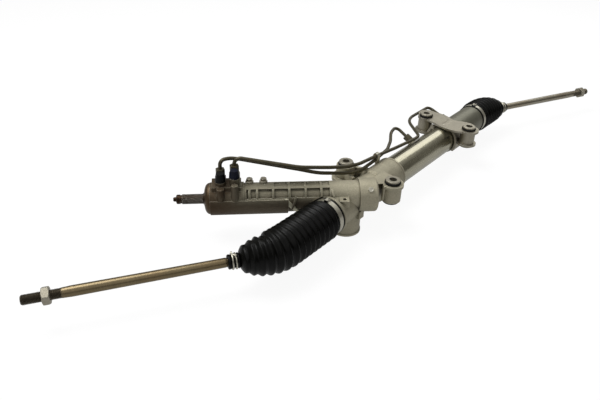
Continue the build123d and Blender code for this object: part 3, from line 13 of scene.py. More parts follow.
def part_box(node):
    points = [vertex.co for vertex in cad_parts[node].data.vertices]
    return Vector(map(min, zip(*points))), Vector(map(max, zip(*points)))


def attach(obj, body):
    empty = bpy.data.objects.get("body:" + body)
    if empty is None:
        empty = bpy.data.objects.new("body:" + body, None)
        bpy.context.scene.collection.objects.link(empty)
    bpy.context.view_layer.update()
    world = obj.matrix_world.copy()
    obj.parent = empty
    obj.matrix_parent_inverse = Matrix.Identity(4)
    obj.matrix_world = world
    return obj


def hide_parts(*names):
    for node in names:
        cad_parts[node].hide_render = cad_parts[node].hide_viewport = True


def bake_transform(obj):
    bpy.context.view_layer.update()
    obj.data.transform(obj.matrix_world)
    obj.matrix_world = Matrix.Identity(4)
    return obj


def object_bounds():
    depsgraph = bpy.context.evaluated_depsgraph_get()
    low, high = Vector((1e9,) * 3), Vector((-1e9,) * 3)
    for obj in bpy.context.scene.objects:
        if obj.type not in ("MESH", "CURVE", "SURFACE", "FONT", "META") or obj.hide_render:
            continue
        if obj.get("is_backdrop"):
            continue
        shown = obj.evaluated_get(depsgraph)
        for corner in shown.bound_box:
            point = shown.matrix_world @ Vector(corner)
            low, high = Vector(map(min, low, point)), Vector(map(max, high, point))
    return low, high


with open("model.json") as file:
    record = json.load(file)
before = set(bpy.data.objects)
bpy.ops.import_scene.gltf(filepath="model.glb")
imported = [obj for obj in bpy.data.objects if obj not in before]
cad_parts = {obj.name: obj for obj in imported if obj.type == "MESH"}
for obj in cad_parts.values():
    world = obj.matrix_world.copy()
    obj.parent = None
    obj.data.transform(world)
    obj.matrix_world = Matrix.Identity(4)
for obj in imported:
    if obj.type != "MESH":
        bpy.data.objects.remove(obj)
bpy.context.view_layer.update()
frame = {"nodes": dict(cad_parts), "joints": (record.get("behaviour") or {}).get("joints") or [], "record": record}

bl_info = {
    "name": "Steering Rack Finishes",
    "version": (1, 0, 0),
    "blender": (4, 5, 0),
    "location": "View3D > Sidebar > Steering Rack",
    "description": "Builds the bellows, clamps, threads, fasteners and finishes of a steering rack",
    "category": "Object",
}

MM = 0.001
JOINTS = {joint["name"]: joint for joint in frame["joints"]}


def unit(vector):
    """The vector at length one, as an array."""
    vector = np.asarray(vector, float)
    return vector / np.linalg.norm(vector)


# the tie rods, by their stations from the ball's centre
BALL_R = 12.5 * MM
NECK_R = 6.3 * MM
SHANK_R = 7.5 * MM
THREAD_R = 7.0 * MM
NUT_THREAD_R = 6.45 * MM
THREAD_START = 280.0 * MM
ROD_END = 330.0 * MM
NUT_THICK = 10.0 * MM

# the boots and their clamps
CLAMP_HALF = 8.5 * MM
CUFF_R = 29.5 * MM
CUFF_BORE_R = 27.56 * MM
BOOT_REACH = 49.0 * MM
SMALL_CUFF_R = 9.5 * MM
SMALL_BORE_R = 6.45 * MM
BAND_GAP = 0.04 * MM
WIRE_GAP = 0.02 * MM

# the bushes
BUSH_BORE_R = 12.0 * MM
SLEEVE_R = 8.5 * MM

# the valve tower: its foot, the way it runs and its flank
TOWER_FOOT = np.array([-200.0, 0.0, 16.928]) * MM
TOWER_ALONG = unit([-1.0, 1.0, 0.0])
TOWER_FLANK = unit([-1.0, -1.0, 0.0])
BARREL_R = 24.2 * MM
UP = np.array([0.0, 0.0, 1.0])
EVEN = (1.0, 1.0, 1.0)


def side_facts(side, sign, clamp_x, nut_station, seam_lead):
    """Where one end of the rack lies: its ball, the tie rod's direction and the boot's face, in metres."""
    return {
        "side": side,
        "ball": np.array(JOINTS[f"{side}_ball_swing"]["pos_m"], float),
        "rod": unit(JOINTS[f"{side}_rod_spin"]["axis"]),
        "out": np.array([sign, 0.0, 0.0]),
        "clamp_x": clamp_x * MM,
        "face_x": clamp_x * MM + sign * CLAMP_HALF,
        "nut": nut_station * MM,
        "seam_lead": seam_lead * MM,
    }


ENDS = {
    "left": side_facts("left", -1.0, -253.7, 295.0, 0.8),
    "right": side_facts("right", 1.0, 267.7, 304.0, 4.8),
}


# ------------------------------------------------------------------ what a user may change
class RackSizes(bpy.types.PropertyGroup):
    """Sizes of the pieces made here."""

    pleat_pitch: FloatProperty(
        name="Pleat Pitch", description="Length of one bellows pleat", default=11.4 * MM,
        min=4 * MM, unit="LENGTH", subtype="DISTANCE",
    )
    pleat_depth: FloatProperty(
        name="Pleat Depth", description="Height of a pleat's crest over its valley", default=3.4 * MM,
        min=0.0, unit="LENGTH", subtype="DISTANCE",
    )
    bellows_radius: FloatProperty(
        name="Bellows Radius", description="Radius over the pleats", default=33.4 * MM,
        min=20 * MM, unit="LENGTH", subtype="DISTANCE",
    )
    bellows_wall: FloatProperty(
        name="Bellows Wall", description="Thickness of the rubber", default=1.8 * MM,
        min=0.5 * MM, unit="LENGTH", subtype="DISTANCE",
    )
    band_width: FloatProperty(
        name="Clamp Band Width", description="Width of the large clamps' band", default=8.6 * MM,
        min=3 * MM, unit="LENGTH", subtype="DISTANCE",
    )
    band_thickness: FloatProperty(
        name="Clamp Band Thickness", description="Thickness of the large clamps' band", default=0.9 * MM,
        min=0.3 * MM, unit="LENGTH", subtype="DISTANCE",
    )
    ear_height: FloatProperty(
        name="Ear Height", description="How far the crimped ear stands off the band", default=3.4 * MM,
        min=0.0, unit="LENGTH", subtype="DISTANCE",
    )
    wire_radius: FloatProperty(
        name="Wire Radius", description="Radius of the small clamps' spring wire", default=1.35 * MM,
        min=0.3 * MM, unit="LENGTH", subtype="DISTANCE",
    )
    thread_pitch: FloatProperty(
        name="Thread Pitch", description="Pitch of the tie rods' thread", default=1.5 * MM,
        min=0.5 * MM, unit="LENGTH", subtype="DISTANCE",
    )
    thread_depth: FloatProperty(
        name="Thread Depth", description="Depth of the tie rods' thread", default=0.85 * MM,
        min=0.0, unit="LENGTH", subtype="DISTANCE",
    )
    turned_steps: IntProperty(
        name="Steps Round", description="Faces round a turned piece", default=96, min=24, max=256,
    )


class RackColours(bpy.types.PropertyGroup):
    """Base colours of the finishes made here."""

    casting: FloatVectorProperty(
        name="Casting", description="Sand-cast aluminium", subtype="COLOR", default=(0.46, 0.425, 0.315),
    )
    # this colour is the brown oil film at the valve's end; on the barrel's underside it is oil stain and painted
    # underside shade both
    stain_and_shade: FloatVectorProperty(
        name="Oil Stain", description="Brown film at the valve's end", subtype="COLOR",
        default=(0.066, 0.040, 0.021),
    )
    # painted shade: this colour darkens the casting's recesses, where it stands for the shade there, and also lays
    # a dark band along the tower
    grime_and_shade: FloatVectorProperty(
        name="Grime", description="Dark film along the tower and in recesses", subtype="COLOR",
        default=(0.045, 0.039, 0.022),
    )
    machined: FloatVectorProperty(
        name="Machined Aluminium", description="Turned faces", subtype="COLOR", default=(0.20, 0.195, 0.15),
    )
    zinc: FloatVectorProperty(
        name="Zinc Plate", description="Bright plate on the tube", subtype="COLOR",
        default=(0.38, 0.36, 0.27),
    )
    bracket: FloatVectorProperty(
        name="Bracket Plate", description="Satin plate on bracket and sleeves", subtype="COLOR",
        default=(0.35, 0.325, 0.26),
    )
    rod_left: FloatVectorProperty(
        name="Left Rod", description="Golden film on the left tie rod", subtype="COLOR",
        default=(0.185, 0.145, 0.082),
    )
    rod_right: FloatVectorProperty(
        name="Right Rod", description="Steel of the right tie rod", subtype="COLOR",
        default=(0.34, 0.315, 0.25),
    )
    thread: FloatVectorProperty(
        name="Thread", description="Dark oxide on the rods' ends", subtype="COLOR",
        default=(0.11, 0.095, 0.07),
    )
    gear: FloatVectorProperty(
        name="Gear Steel", description="Ground steel", subtype="COLOR", default=(0.026, 0.014, 0.007),
    )
    bearing: FloatVectorProperty(
        name="Bearing Steel", description="Polished steel", subtype="COLOR", default=(0.55, 0.54, 0.50),
    )
    pipe: FloatVectorProperty(
        name="Pipe", description="Olive coat of the pipes", subtype="COLOR", default=(0.085, 0.075, 0.045),
    )
    clip: FloatVectorProperty(
        name="Clip", description="Pressed steel strip", subtype="COLOR", default=(0.50, 0.48, 0.40),
    )
    # painted reflection: the cover's brown colour stands in for a brown reflection on its steel
    cover_reflection_brown: FloatVectorProperty(
        name="End Cover", description="Browned steel cover", subtype="COLOR", default=(0.085, 0.056, 0.030),
    )
    rubber: FloatVectorProperty(
        name="Boot Rubber", description="Moulded bellows rubber", subtype="COLOR",
        default=(0.0022, 0.0023, 0.0019),
    )
    bush: FloatVectorProperty(
        name="Bush Rubber", description="Moulded bush rubber", subtype="COLOR", default=(0.014, 0.013, 0.012),
    )
    seal: FloatVectorProperty(
        name="Seal Rubber", description="Brown seal rubber", subtype="COLOR", default=(0.05, 0.032, 0.02),
    )
    black_cap: FloatVectorProperty(
        name="Feed Cap", description="Black plug", subtype="COLOR", default=(0.0035, 0.0034, 0.0026),
    )
    blue_cap: FloatVectorProperty(
        name="Return Cap", description="Dark blue plug", subtype="COLOR", default=(0.0055, 0.0075, 0.020),
    )
    plastic: FloatVectorProperty(
        name="Bearing Plastic", description="Low-friction moulding", subtype="COLOR",
        default=(0.68, 0.65, 0.55),
    )
    rubbed: FloatVectorProperty(
        name="Rubbed Casting", description="Bright cast rib", subtype="COLOR", default=(0.62, 0.60, 0.47),
    )
    worn: FloatVectorProperty(
        name="Worn Edge", description="Bare metal on rubbed edges", subtype="COLOR",
        default=(0.66, 0.63, 0.50),
    )
    floor: FloatVectorProperty(
        name="Floor", description="Studio floor", subtype="COLOR", default=(0.45, 0.45, 0.45),
    )


# ------------------------------------------------------------------ shader sums
class Signal:
    """A node's output in an expression; each operator adds the Math node that works it out."""

    def __init__(self, net, socket):
        self.net = net
        self.socket = socket

    def __add__(self, other):
        return self.net.sum("ADD", self, other)

    __radd__ = __add__

    def __sub__(self, other):
        return self.net.sum("SUBTRACT", self, other)

    def __rsub__(self, other):
        return self.net.sum("SUBTRACT", other, self)

    def __mul__(self, other):
        return self.net.sum("MULTIPLY", self, other)

    __rmul__ = __mul__


class Net:
    """A node tree being written, with one method that adds any node."""

    def __init__(self, tree):
        self.tree = tree
        tree.nodes.clear()

    def node(self, kind, settings=None, inputs=None, output=0):
        """Adds a node: its settings first, then the values or links of its sockets. Gives one output back."""
        made = self.tree.nodes.new(kind)
        for key, value in (settings or {}).items():
            if key == "stops":
                ramp = made.color_ramp
                while len(ramp.elements) < len(value):
                    ramp.elements.new(0.5)
                for element, (place, colour) in zip(ramp.elements, value):
                    element.position = place
                    element.color = (*colour, 1.0)
            else:
                setattr(made, key, value)
        for key, value in (inputs or {}).items():
            if isinstance(value, Signal):
                self.tree.links.new(value.socket, made.inputs[key])
            else:
                made.inputs[key].default_value = value
        return Signal(self, made.outputs[output]) if made.outputs else None

    def sum(self, operation, first, second):
        """A Math node on two values."""
        return self.node("ShaderNodeMath", {"operation": operation}, {0: first, 1: second})

    def step(self, value, low, high):
        """A value eased from 0 at low to 1 at high."""
        settings = {"interpolation_type": "SMOOTHSTEP"}
        inputs = {"Value": value, "From Min": low, "From Max": high}
        return self.node("ShaderNodeMapRange", settings, inputs)

    def place(self):
        """Where the point is on the object, in metres."""
        return self.node("ShaderNodeTexCoord", output="Object")

    def dot(self, first, second):
        """The dot product of two vectors."""
        inputs = {0: first, 1: second}
        return self.node("ShaderNodeVectorMath", {"operation": "DOT_PRODUCT"}, inputs, output="Value")

    def along(self, origin, axis):
        """How far a point lies along an axis from an origin, in metres."""
        inputs = {0: self.place(), 1: tuple(origin)}
        return self.dot(self.node("ShaderNodeVectorMath", {"operation": "SUBTRACT"}, inputs), tuple(axis))

    def rings(self, station, scale):
        """Noise that changes only along the station, as a lathe's rings do."""
        inputs = {"W": station, "Scale": scale, "Detail": 3.0}
        return self.node("ShaderNodeTexNoise", {"noise_dimensions": "1D"}, inputs)

    def noise(self, scale, detail=3.0, roughness=0.55, stretch=EVEN):
        """Cloudy noise from 0 to 1, drawn out along an axis by stretch."""
        vector = self.place()
        if stretch != EVEN:
            inputs = {"Vector": vector, "Scale": stretch}
            vector = self.node("ShaderNodeMapping", {"vector_type": "TEXTURE"}, inputs)
        inputs = {"Vector": vector, "Scale": scale, "Detail": detail, "Roughness": roughness}
        return self.node("ShaderNodeTexNoise", None, inputs)

    def mix(self, factor, first, second, blend="MIX"):
        """One colour over another."""
        settings = {"data_type": "RGBA", "blend_type": blend}
        inputs = {0: factor, 6: self.rgba(first), 7: self.rgba(second)}
        return self.node("ShaderNodeMix", settings, inputs, output=2)

    @staticmethod
    def rgba(colour):
        """A colour with its alpha, or the link it already is."""
        return colour if isinstance(colour, Signal) else (*tuple(colour)[:3], 1.0)

    def shade(self, colour, value, amount):
        """A colour made lighter and darker by a value that runs about one half."""
        grey = 1.0 + (value - 0.5) * (2.0 * amount)
        level = self.node("ShaderNodeCombineColor", None, {0: grey, 1: grey, 2: grey})
        return self.mix(1.0, colour, level, "MULTIPLY")

    def edges(self, radius):
        """1 on sharp edges and 0 on flats: how far the rounded normal leans from the face's own."""
        low, high = 0.004, 0.10
        soft = self.node("ShaderNodeBevel", {"samples": 6}, {"Radius": radius})
        flat = self.node("ShaderNodeNewGeometry", output="Normal")
        return self.step(1.0 - self.dot(soft, flat), low, high)

    def bump(self, height, distance, strength=1.0, bevel=0.0):
        """The surface's normal with a relief on it, its edges rounded first where bevel is given."""
        inputs = {"Height": height, "Distance": distance, "Strength": strength}
        if bevel:
            inputs["Normal"] = self.node("ShaderNodeBevel", {"samples": 6}, {"Radius": bevel})
        return self.node("ShaderNodeBump", None, inputs)


def finish_of(name, recipe):
    """A material whose recipe returns the Principled shader's sockets."""
    material = bpy.data.materials.new(name)
    material.use_nodes = True
    net = Net(material.node_tree)
    shader = net.node("ShaderNodeBsdfPrincipled", None, recipe(net))
    net.node("ShaderNodeOutputMaterial", None, {"Surface": shader})
    return material


# ------------------------------------------------------------------ finishes
def cast_finish(colour, stain_and_shade, grime_and_shade, bare):
    """Sand-cast aluminium: grit with painted glints, mottling, painted shade in recesses, a dark band along the
    tower, rubbed edges, a brown stain film, and a darker underside of oil stain and painted shade.
    """

    def recipe(net):
        grit_and_glint = net.noise(1700.0, 3.0, 0.75)
        cloud = net.noise(38.0, 4.0, 0.6)
        speck = net.noise(520.0, 3.0, 0.65)
        worn = net.edges(0.9 * MM)
        # painted shade: the occlusion below darkens the recesses with the grime colour, in place of the shade that
        # falls there
        near = {"samples": 8, "only_local": True}
        open_sky = net.node("ShaderNodeAmbientOcclusion", near, {"Distance": 9.0 * MM}, output="AO")
        tint = net.shade(net.shade(colour, cloud, 0.30), speck, 0.42)
        # painted glints: bright specks over the grit stand in for light sparkling off the cast grains
        tint = net.mix(net.step(grit_and_glint, 0.60, 0.72) * 0.5, tint, (0.60, 0.57, 0.46))
        tint = net.mix(net.step(open_sky, 0.90, 0.35) * 0.80, tint, grime_and_shade)
        station = net.along(TOWER_FOOT, TOWER_ALONG)
        # painted shade: the low mask keeps the next stain to the barrel's underside, where it stands for oil stain
        # and for the shade under the barrel both
        low = net.step(net.along(TOWER_FOOT, UP), 0.014, -0.002)
        patch = net.step(cloud, 0.30, 0.62)
        # a dark band in blotches along the tower's first 65 mm
        tint = net.mix(net.step(station, -0.010, 0.065) * (0.44 + 0.16 * patch), tint, grime_and_shade)
        tint = net.mix(net.step(station, 0.035, 0.085) * low * 0.66, tint, stain_and_shade)
        film = net.step(station, 0.160, 0.200) * (0.66 + 0.24 * patch)
        tint = net.mix(film, tint, stain_and_shade)
        tint = net.mix(worn * (0.66 - 0.44 * film), tint, bare)
        height = grit_and_glint * 0.6 + speck * 0.9 + cloud * 1.5
        return {
            "Base Color": tint,
            "Metallic": 0.50 + 0.25 * worn,
            "Specular IOR Level": 0.25,
            "Roughness": 0.44 + 0.20 * speck - 0.12 * worn,
            "Normal": net.bump(height, 0.00045, 0.9, 0.7 * MM),
        }

    return recipe


def turned_finish(colour, origin, axis, roughness, ring, metallic=0.9):
    """Lathe-turned metal: fine rings across the axis, faint stains and bright edges."""

    def recipe(net):
        station = net.along(origin, axis)
        rings = net.rings(station, ring)
        cloud = net.noise(55.0, 4.0, 0.6)
        worn = net.edges(0.5 * MM)
        tint = net.shade(net.shade(colour, cloud, 0.22), rings, 0.30)
        tint = net.mix(worn * 0.45, tint, (0.72, 0.70, 0.62))
        return {
            "Base Color": tint,
            "Metallic": metallic,
            "Roughness": roughness + 0.16 * cloud - 0.06 * rings,
            "Normal": net.bump(rings + 0.4 * net.noise(1300.0, 2.0), 0.00006, 0.7, 0.45 * MM),
        }

    return recipe


def plated_finish(colour, stretch, roughness, grain, tone=0.18):
    """Zinc plate over drawn metal: long draw lines, cloudy passivation and small dull spots."""

    def recipe(net):
        lines = net.noise(grain, 4.0, 0.65, stretch)
        cloud = net.noise(24.0, 5.0, 0.6)
        spots = net.step(net.noise(330.0, 2.0, 0.5), 0.64, 0.74)
        worn = net.edges(0.5 * MM)
        tint = net.shade(net.shade(colour, cloud, tone), lines, 0.28)
        tint = net.mix(spots * 0.35, tint, (0.22, 0.20, 0.15))
        tint = net.mix(worn * 0.5, tint, (0.78, 0.76, 0.70))
        return {
            "Base Color": tint,
            "Metallic": 0.92,
            "Roughness": roughness + 0.16 * cloud + 0.10 * lines + 0.12 * spots,
            "Normal": net.bump(lines + 0.5 * cloud, 0.00006, 0.6, 0.5 * MM),
        }

    return recipe


def rubber_finish(colour, roughness, bloom):
    """Moulded rubber: fine grain, a soft gloss and a thin grey bloom in places."""

    def recipe(net):
        skin = net.noise(900.0, 3.0, 0.6)
        cloud = net.noise(70.0, 4.0, 0.6)
        dust = net.step(cloud, 0.48, 0.78) * bloom
        scuff = net.step(net.noise(240.0, 3.0, 0.7, (1.0, 4.0, 1.0)), 0.60, 0.78)
        tint = net.mix(dust * 0.5 + scuff * 0.18, net.shade(colour, cloud, 0.5), (0.045, 0.044, 0.040))
        return {
            "Base Color": tint,
            "Specular IOR Level": 0.13,
            "Roughness": roughness + 0.14 * cloud + 0.12 * scuff,
            "Normal": net.bump(skin + 2.0 * cloud, 0.00010, 0.5),
        }

    return recipe


def plastic_finish(colour, roughness, light=(0.30, 0.30, 0.28)):
    """Moulded plastic: a fine spark-eroded skin, faint flow marks and paler edges."""

    def recipe(net):
        skin = net.noise(1100.0, 3.0, 0.6)
        flow = net.noise(120.0, 3.0, 0.5, (1.0, 1.0, 3.0))
        worn = net.edges(0.5 * MM)
        tint = net.mix(worn * 0.10, net.shade(colour, flow, 0.35), light)
        return {
            "Base Color": tint,
            "Specular IOR Level": 0.20,
            "Roughness": roughness + 0.14 * flow,
            "Normal": net.bump(skin + flow, 0.00006, 0.5, 0.5 * MM),
        }

    return recipe


def pipe_finish(colour):
    """Olive conversion coat on bundy pipe: soft clouding, brown rust freckles and handling scratches."""

    def recipe(net):
        cloud = net.noise(90.0, 4.0, 0.6)
        rust = net.step(net.noise(310.0, 4.0, 0.6), 0.56, 0.70)
        rub = net.step(net.noise(60.0, 5.0, 0.7), 0.60, 0.70)
        tint = net.mix(rust * 0.45, net.shade(colour, cloud, 0.4), (0.16, 0.075, 0.025))
        tint = net.mix(rub * 0.30, tint, (0.26, 0.24, 0.17))
        return {
            "Base Color": tint,
            "Metallic": 0.55,
            "Roughness": 0.34 + 0.20 * cloud + 0.10 * rust,
            "Normal": net.bump(net.noise(900.0, 3.0) + 1.5 * rust, 0.00006, 0.6),
        }

    return recipe


def rod_finish(colour, oxide, end):
    """Oiled rod steel: fine rings and a brown gold film along the shank, and dark oxide on the thread."""

    def recipe(net):
        station = net.along(end["ball"], end["rod"])
        rings = net.rings(station, 700.0)
        cloud = net.noise(30.0, 5.0, 0.6)
        film = net.step(net.noise(16.0, 4.0, 0.6), 0.38, 0.66)
        dark = net.step(station, 0.279, 0.284)
        tint = net.shade(net.shade(colour, cloud, 0.30), rings, 0.20)
        tint = net.mix(film * 0.35, tint, (0.20, 0.135, 0.070))
        tint = net.mix(dark, tint, net.shade(oxide, cloud, 0.5))
        return {
            "Base Color": tint,
            "Metallic": 0.88,
            "Roughness": 0.30 + 0.14 * cloud + 0.12 * dark - 0.05 * rings,
            "Normal": net.bump(rings, 0.00005, 0.6),
        }

    return recipe


def floor_finish(colour):
    """A white floor that shows plain white to the eye and in reflections, and keeps the soft shadow."""
    material = bpy.data.materials.new("studio_floor")
    material.use_nodes = True
    net = Net(material.node_tree)
    plain = net.node("ShaderNodeEmission", None, {"Color": (1.0, 1.0, 1.0, 1.0), "Strength": 1.07})
    eye = net.node("ShaderNodeLightPath", output="Is Camera Ray")
    matte = net.node("ShaderNodeBsdfDiffuse", None, {"Color": net.mix(eye, colour, (1.0, 1.0, 1.0))})
    gloss = net.node("ShaderNodeLightPath", output="Is Glossy Ray")
    clear = net.node("ShaderNodeLightPath", output="Is Transmission Ray")
    direct, mirrored = 0.86, 0.42
    seen = net.sum("MAXIMUM", net.sum("MAXIMUM", eye * direct, gloss * mirrored), clear * direct)
    both = net.node("ShaderNodeMixShader", None, {0: seen, 1: matte, 2: plain})
    net.node("ShaderNodeOutputMaterial", None, {"Surface": both})
    return material


# ------------------------------------------------------------------ surfaces
def smooth(x):
    """0 below 0, 1 above 1 and eased between them."""
    x = np.clip(x, 0.0, 1.0)
    return x * x * (3.0 - 2.0 * x)


def surface(name, points, closed_rows=False, crease=40.0):
    """A mesh over a grid of points that closes on itself round each row, and end to end where closed_rows.

    Rows that shrink to a point are merged there, so poles are closed, and faces are then turned outwards.
    """
    rows, columns = points.shape[:2]
    index = np.arange(rows * columns).reshape(rows, columns)
    index = np.hstack([index, index[:, :1]])
    if closed_rows:
        index = np.vstack([index, index[:1]])
    quads = np.stack([index[:-1, :-1], index[1:, :-1], index[1:, 1:], index[:-1, 1:]], -1).reshape(-1, 4)
    mesh = bpy.data.meshes.new(name)
    mesh.from_pydata(points.reshape(-1, 3), [], quads)
    shape = bmesh.new()
    shape.from_mesh(mesh)
    bmesh.ops.remove_doubles(shape, verts=shape.verts, dist=1e-7)
    bmesh.ops.recalc_face_normals(shape, faces=shape.faces)
    shape.to_mesh(mesh)
    shape.free()
    mesh.shade_smooth()
    mesh.set_sharp_from_angle(angle=math.radians(crease))
    made = bpy.data.objects.new(name, mesh)
    bpy.context.scene.collection.objects.link(made)
    return made


def across(axis):
    """Two directions square to an axis: the first as near up as it can be."""
    axis = unit(axis)
    up = UP if abs(axis[2]) < 0.9 else np.array([1.0, 0.0, 0.0])
    first = unit(up - axis * (up @ axis))
    return first, np.cross(axis, first)


def full_turn(steps):
    """The angles of one even turn, in radians."""
    return np.linspace(0.0, 2.0 * np.pi, steps, endpoint=False)


def spokes(angle, first, second):
    """Unit directions at the angles: the cosine along the first direction and the sine along the second."""
    return np.cos(angle)[:, None] * first + np.sin(angle)[:, None] * second


def turned(name, loop, origin, axis, steps):
    """A closed ring: each (station, radius) pair of the loop is carried once round the axis."""
    station, radius = np.asarray(loop, float).T
    spoke = spokes(full_turn(steps), *across(axis))
    points = np.asarray(origin) + station[:, None, None] * unit(axis) + radius[:, None, None] * spoke
    return surface(name, points, True)


def swept(name, path, radius):
    """A round wire of one radius along a path: each ring stands square to the path, and its ends are domed.

    The dome's rings shrink as the cosine of an angle and move out as its sine.
    """
    path = np.asarray(path, float)
    ahead = np.gradient(path, axis=0)
    ahead /= np.linalg.norm(ahead, axis=1)[:, None]
    lean = np.array([0.31, 0.47, 0.83])  # never along the path
    first = lean - ahead * (ahead @ lean)[:, None]
    first /= np.linalg.norm(first, axis=1)[:, None]
    second = np.cross(ahead, first)
    dome = np.linspace(0.5 * np.pi, 0.0, 5)
    size = np.concatenate([np.cos(dome), np.ones(len(path) - 2), np.cos(dome[::-1])])
    push = np.concatenate([-np.sin(dome), np.zeros(len(path) - 2), np.sin(dome[::-1])])
    pick = np.concatenate([np.zeros(5, int), np.arange(1, len(path) - 1), np.full(5, len(path) - 1)])
    spoke = spokes(full_turn(14), first[pick][:, None], second[pick][:, None])
    centre = path[pick] + ahead[pick] * (push * radius)[:, None]
    return surface(name, centre[:, None] + spoke * (size * radius)[:, None, None])


def boot_line(end):
    """The bellows' centre line as a function of the length s from its face, and the straight part's length.

    It follows the rack's axis to the ball and the tie rod beyond it, eased over the bend by a parabola.
    """
    straight = abs(end["ball"][0] - end["face_x"])
    bend = 0.6 * min(straight, BOOT_REACH)
    face = np.array([end["face_x"], 0.0, 0.0])

    def line(s):
        share = np.clip((s - straight + bend) / (2.0 * bend), 0.0, 1.0)[:, None]
        before = face + end["out"] * np.minimum(s, straight - bend)[:, None]
        start = end["ball"] - end["out"] * bend
        leave = end["ball"] + end["rod"] * bend
        curve = start * (1 - share) ** 2 + end["ball"] * (2 * share * (1 - share)) + leave * share**2
        after = end["rod"] * np.maximum(s - straight - bend, 0.0)[:, None]
        centre = before + (curve - start) + after
        ahead = end["out"] * (1 - share) + end["rod"] * share
        return centre, ahead / np.linalg.norm(ahead, axis=1)[:, None]

    return line, straight, straight + BOOT_REACH


def pleated(s, total, sizes):
    """Radius of the bellows at s: a wave of rounded triangles between a crest line and a valley line.

    The crest line holds its radius, then falls by a quarter of an ellipse to the small cuff.
    """
    shoulder, end_crest, end_depth, sharp = 70.0 * MM, 11.0 * MM, 1.5 * MM, 0.90
    count = round(total / sizes.pleat_pitch)
    fall = 1.0 - np.clip((total - s) / shoulder, 0.0, 1.0)
    full = np.sqrt(1.0 - fall**2)
    crest = end_crest + (sizes.bellows_radius - end_crest) * full
    depth = end_depth + (sizes.pleat_depth - end_depth) * full
    wave = 0.5 - np.arcsin(sharp * np.cos(2.0 * np.pi * count * s / total)) / (2.0 * math.asin(sharp))
    return crest - depth * (1.0 - wave)


def skin_of(name, line, outer, inner, steps, flat=None):
    """A rubber shell: rings of the outer radius along the centre line and back along the inner one.

    Where flat is given, a direction, a station and a depth, the one pleat past that station is pressed in
    on the side that faces the direction: a smooth step along the pleat times one round it.
    """
    s_out, r_out = outer
    s_in, r_in = inner
    s = np.concatenate([s_out, s_in[::-1]])
    r = np.concatenate([r_out, r_in[::-1]])
    centre, ahead = line(s)
    first = np.broadcast_to(UP, ahead.shape)
    second = np.cross(ahead, first)
    spoke = spokes(full_turn(steps), first[:, None], second[:, None])
    r = np.broadcast_to(r[:, None], (len(s), steps))
    if flat:
        facing, station, depth = flat
        press = smooth((s - station) / (2.5 * MM)) * smooth((station + 13.0 * MM - s) / (4.0 * MM))
        r = r - depth * press[:, None] * smooth((spoke @ facing - 0.35) / 0.4)
    return surface(name, centre[:, None] + spoke * r[..., None], True, 60.0)


def make_boot(end, sizes, rubber):
    """The bellows of one side in three pieces: the slide, the swing and the nod."""
    side = end["side"]
    line, straight, total = boot_line(end)
    count = round(total / sizes.pleat_pitch)
    pitch = total / count
    wall = sizes.bellows_wall
    first_valley = pitch * math.floor((straight + 5.0 * MM) / pitch)
    last_valley = total - pitch
    lap, tuck = 2.6 * MM, 0.5 * MM

    def run(start, stop):
        s = np.linspace(start, stop, max(8, int((stop - start) / pitch * 16)))
        return s, pleated(s, total, sizes)

    def tucked(s, r, seam):
        """The radius with its lip, before the seam, laid inside the valley there."""
        return np.where(s < seam, np.minimum(r, pleated(np.array([seam]), total, sizes)) - tuck, r)

    # slide piece: cuff with a bead and the clamp's groove, then pleats to a valley by the ball
    cuff = np.array([
        (-16.9, 28.6), (-16.6, 29.8), (-15.8, 30.5), (-14.8, 30.3), (-14.0, 29.5), (-3.4, 29.5),
        (-2.6, 29.9), (-1.8, 30.9), (-0.8, 31.4), (0.6, 31.0), (1.6, 29.8),
    ]) * MM
    s, r = run(2.6 * MM, first_valley)
    outer = np.concatenate([cuff[:, 0], s]), np.concatenate([cuff[:, 1], r])
    s_in = np.concatenate([np.array([-16.9, 0.6, 1.6]) * MM, s[2:]])
    r_in = np.concatenate([[CUFF_BORE_R, CUFF_BORE_R, CUFF_BORE_R - 0.96 * MM], r[2:] - wall])
    slide = skin_of(f"boot_{side}_slide", line, outer, (s_in, r_in), sizes.turned_steps)

    # swing piece: starts as a lip inside the last valley
    s, r = run(first_valley - lap, last_valley)
    under = tucked(s, r, first_valley)
    flat = (unit([0.0, 0.83, 0.55]), first_valley, 3.4 * MM) if side == "left" else None
    swing = skin_of(f"boot_{side}_swing", line, (s, under), (s, under - wall), sizes.turned_steps, flat)

    # nod piece: the last pleat, its lip and the small cuff with its rim
    s, r = run(last_valley - 0.6 * lap, total)
    under = tucked(s, r, last_valley)
    rim = np.array([
        (0.6, 10.6), (1.2, 11.3), (2.2, 11.5), (3.0, 11.0), (3.5, 9.5), (12.4, 9.5), (12.9, 10.3),
        (13.8, 10.7), (15.6, 10.6), (16.6, 10.0), (17.0, 8.8),
    ]) * MM
    outer = np.concatenate([s, total + rim[:, 0]]), np.concatenate([under, rim[:, 1]])
    s_in = np.concatenate([s, total + np.array([1.5, 17.0]) * MM])
    bore = np.maximum(under - wall, SMALL_BORE_R)
    bore[-3:] = SMALL_BORE_R
    r_in = np.concatenate([bore, [NECK_R + 0.04 * MM] * 2])
    nod = skin_of(f"boot_{side}_nod", line, outer, (s_in, r_in), sizes.turned_steps)

    face = np.array([end["face_x"], 0.0, 0.0])
    slide_end = first_valley - end["seam_lead"]
    ball, rod = end["ball"], end["rod"]
    seam, square = (row[0] for row in line(np.array([first_valley])))
    last = ball + rod * (last_valley - straight)
    face + end["out"] * slide_end
    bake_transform(slide)
    seam + square * 26.0 * MM
    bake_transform(swing)
    last + rod * 7.6 * MM
    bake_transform(nod)
    for piece in (slide, swing, nod):
        piece.data.materials.append(rubber)
        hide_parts(f"boot_{side}")


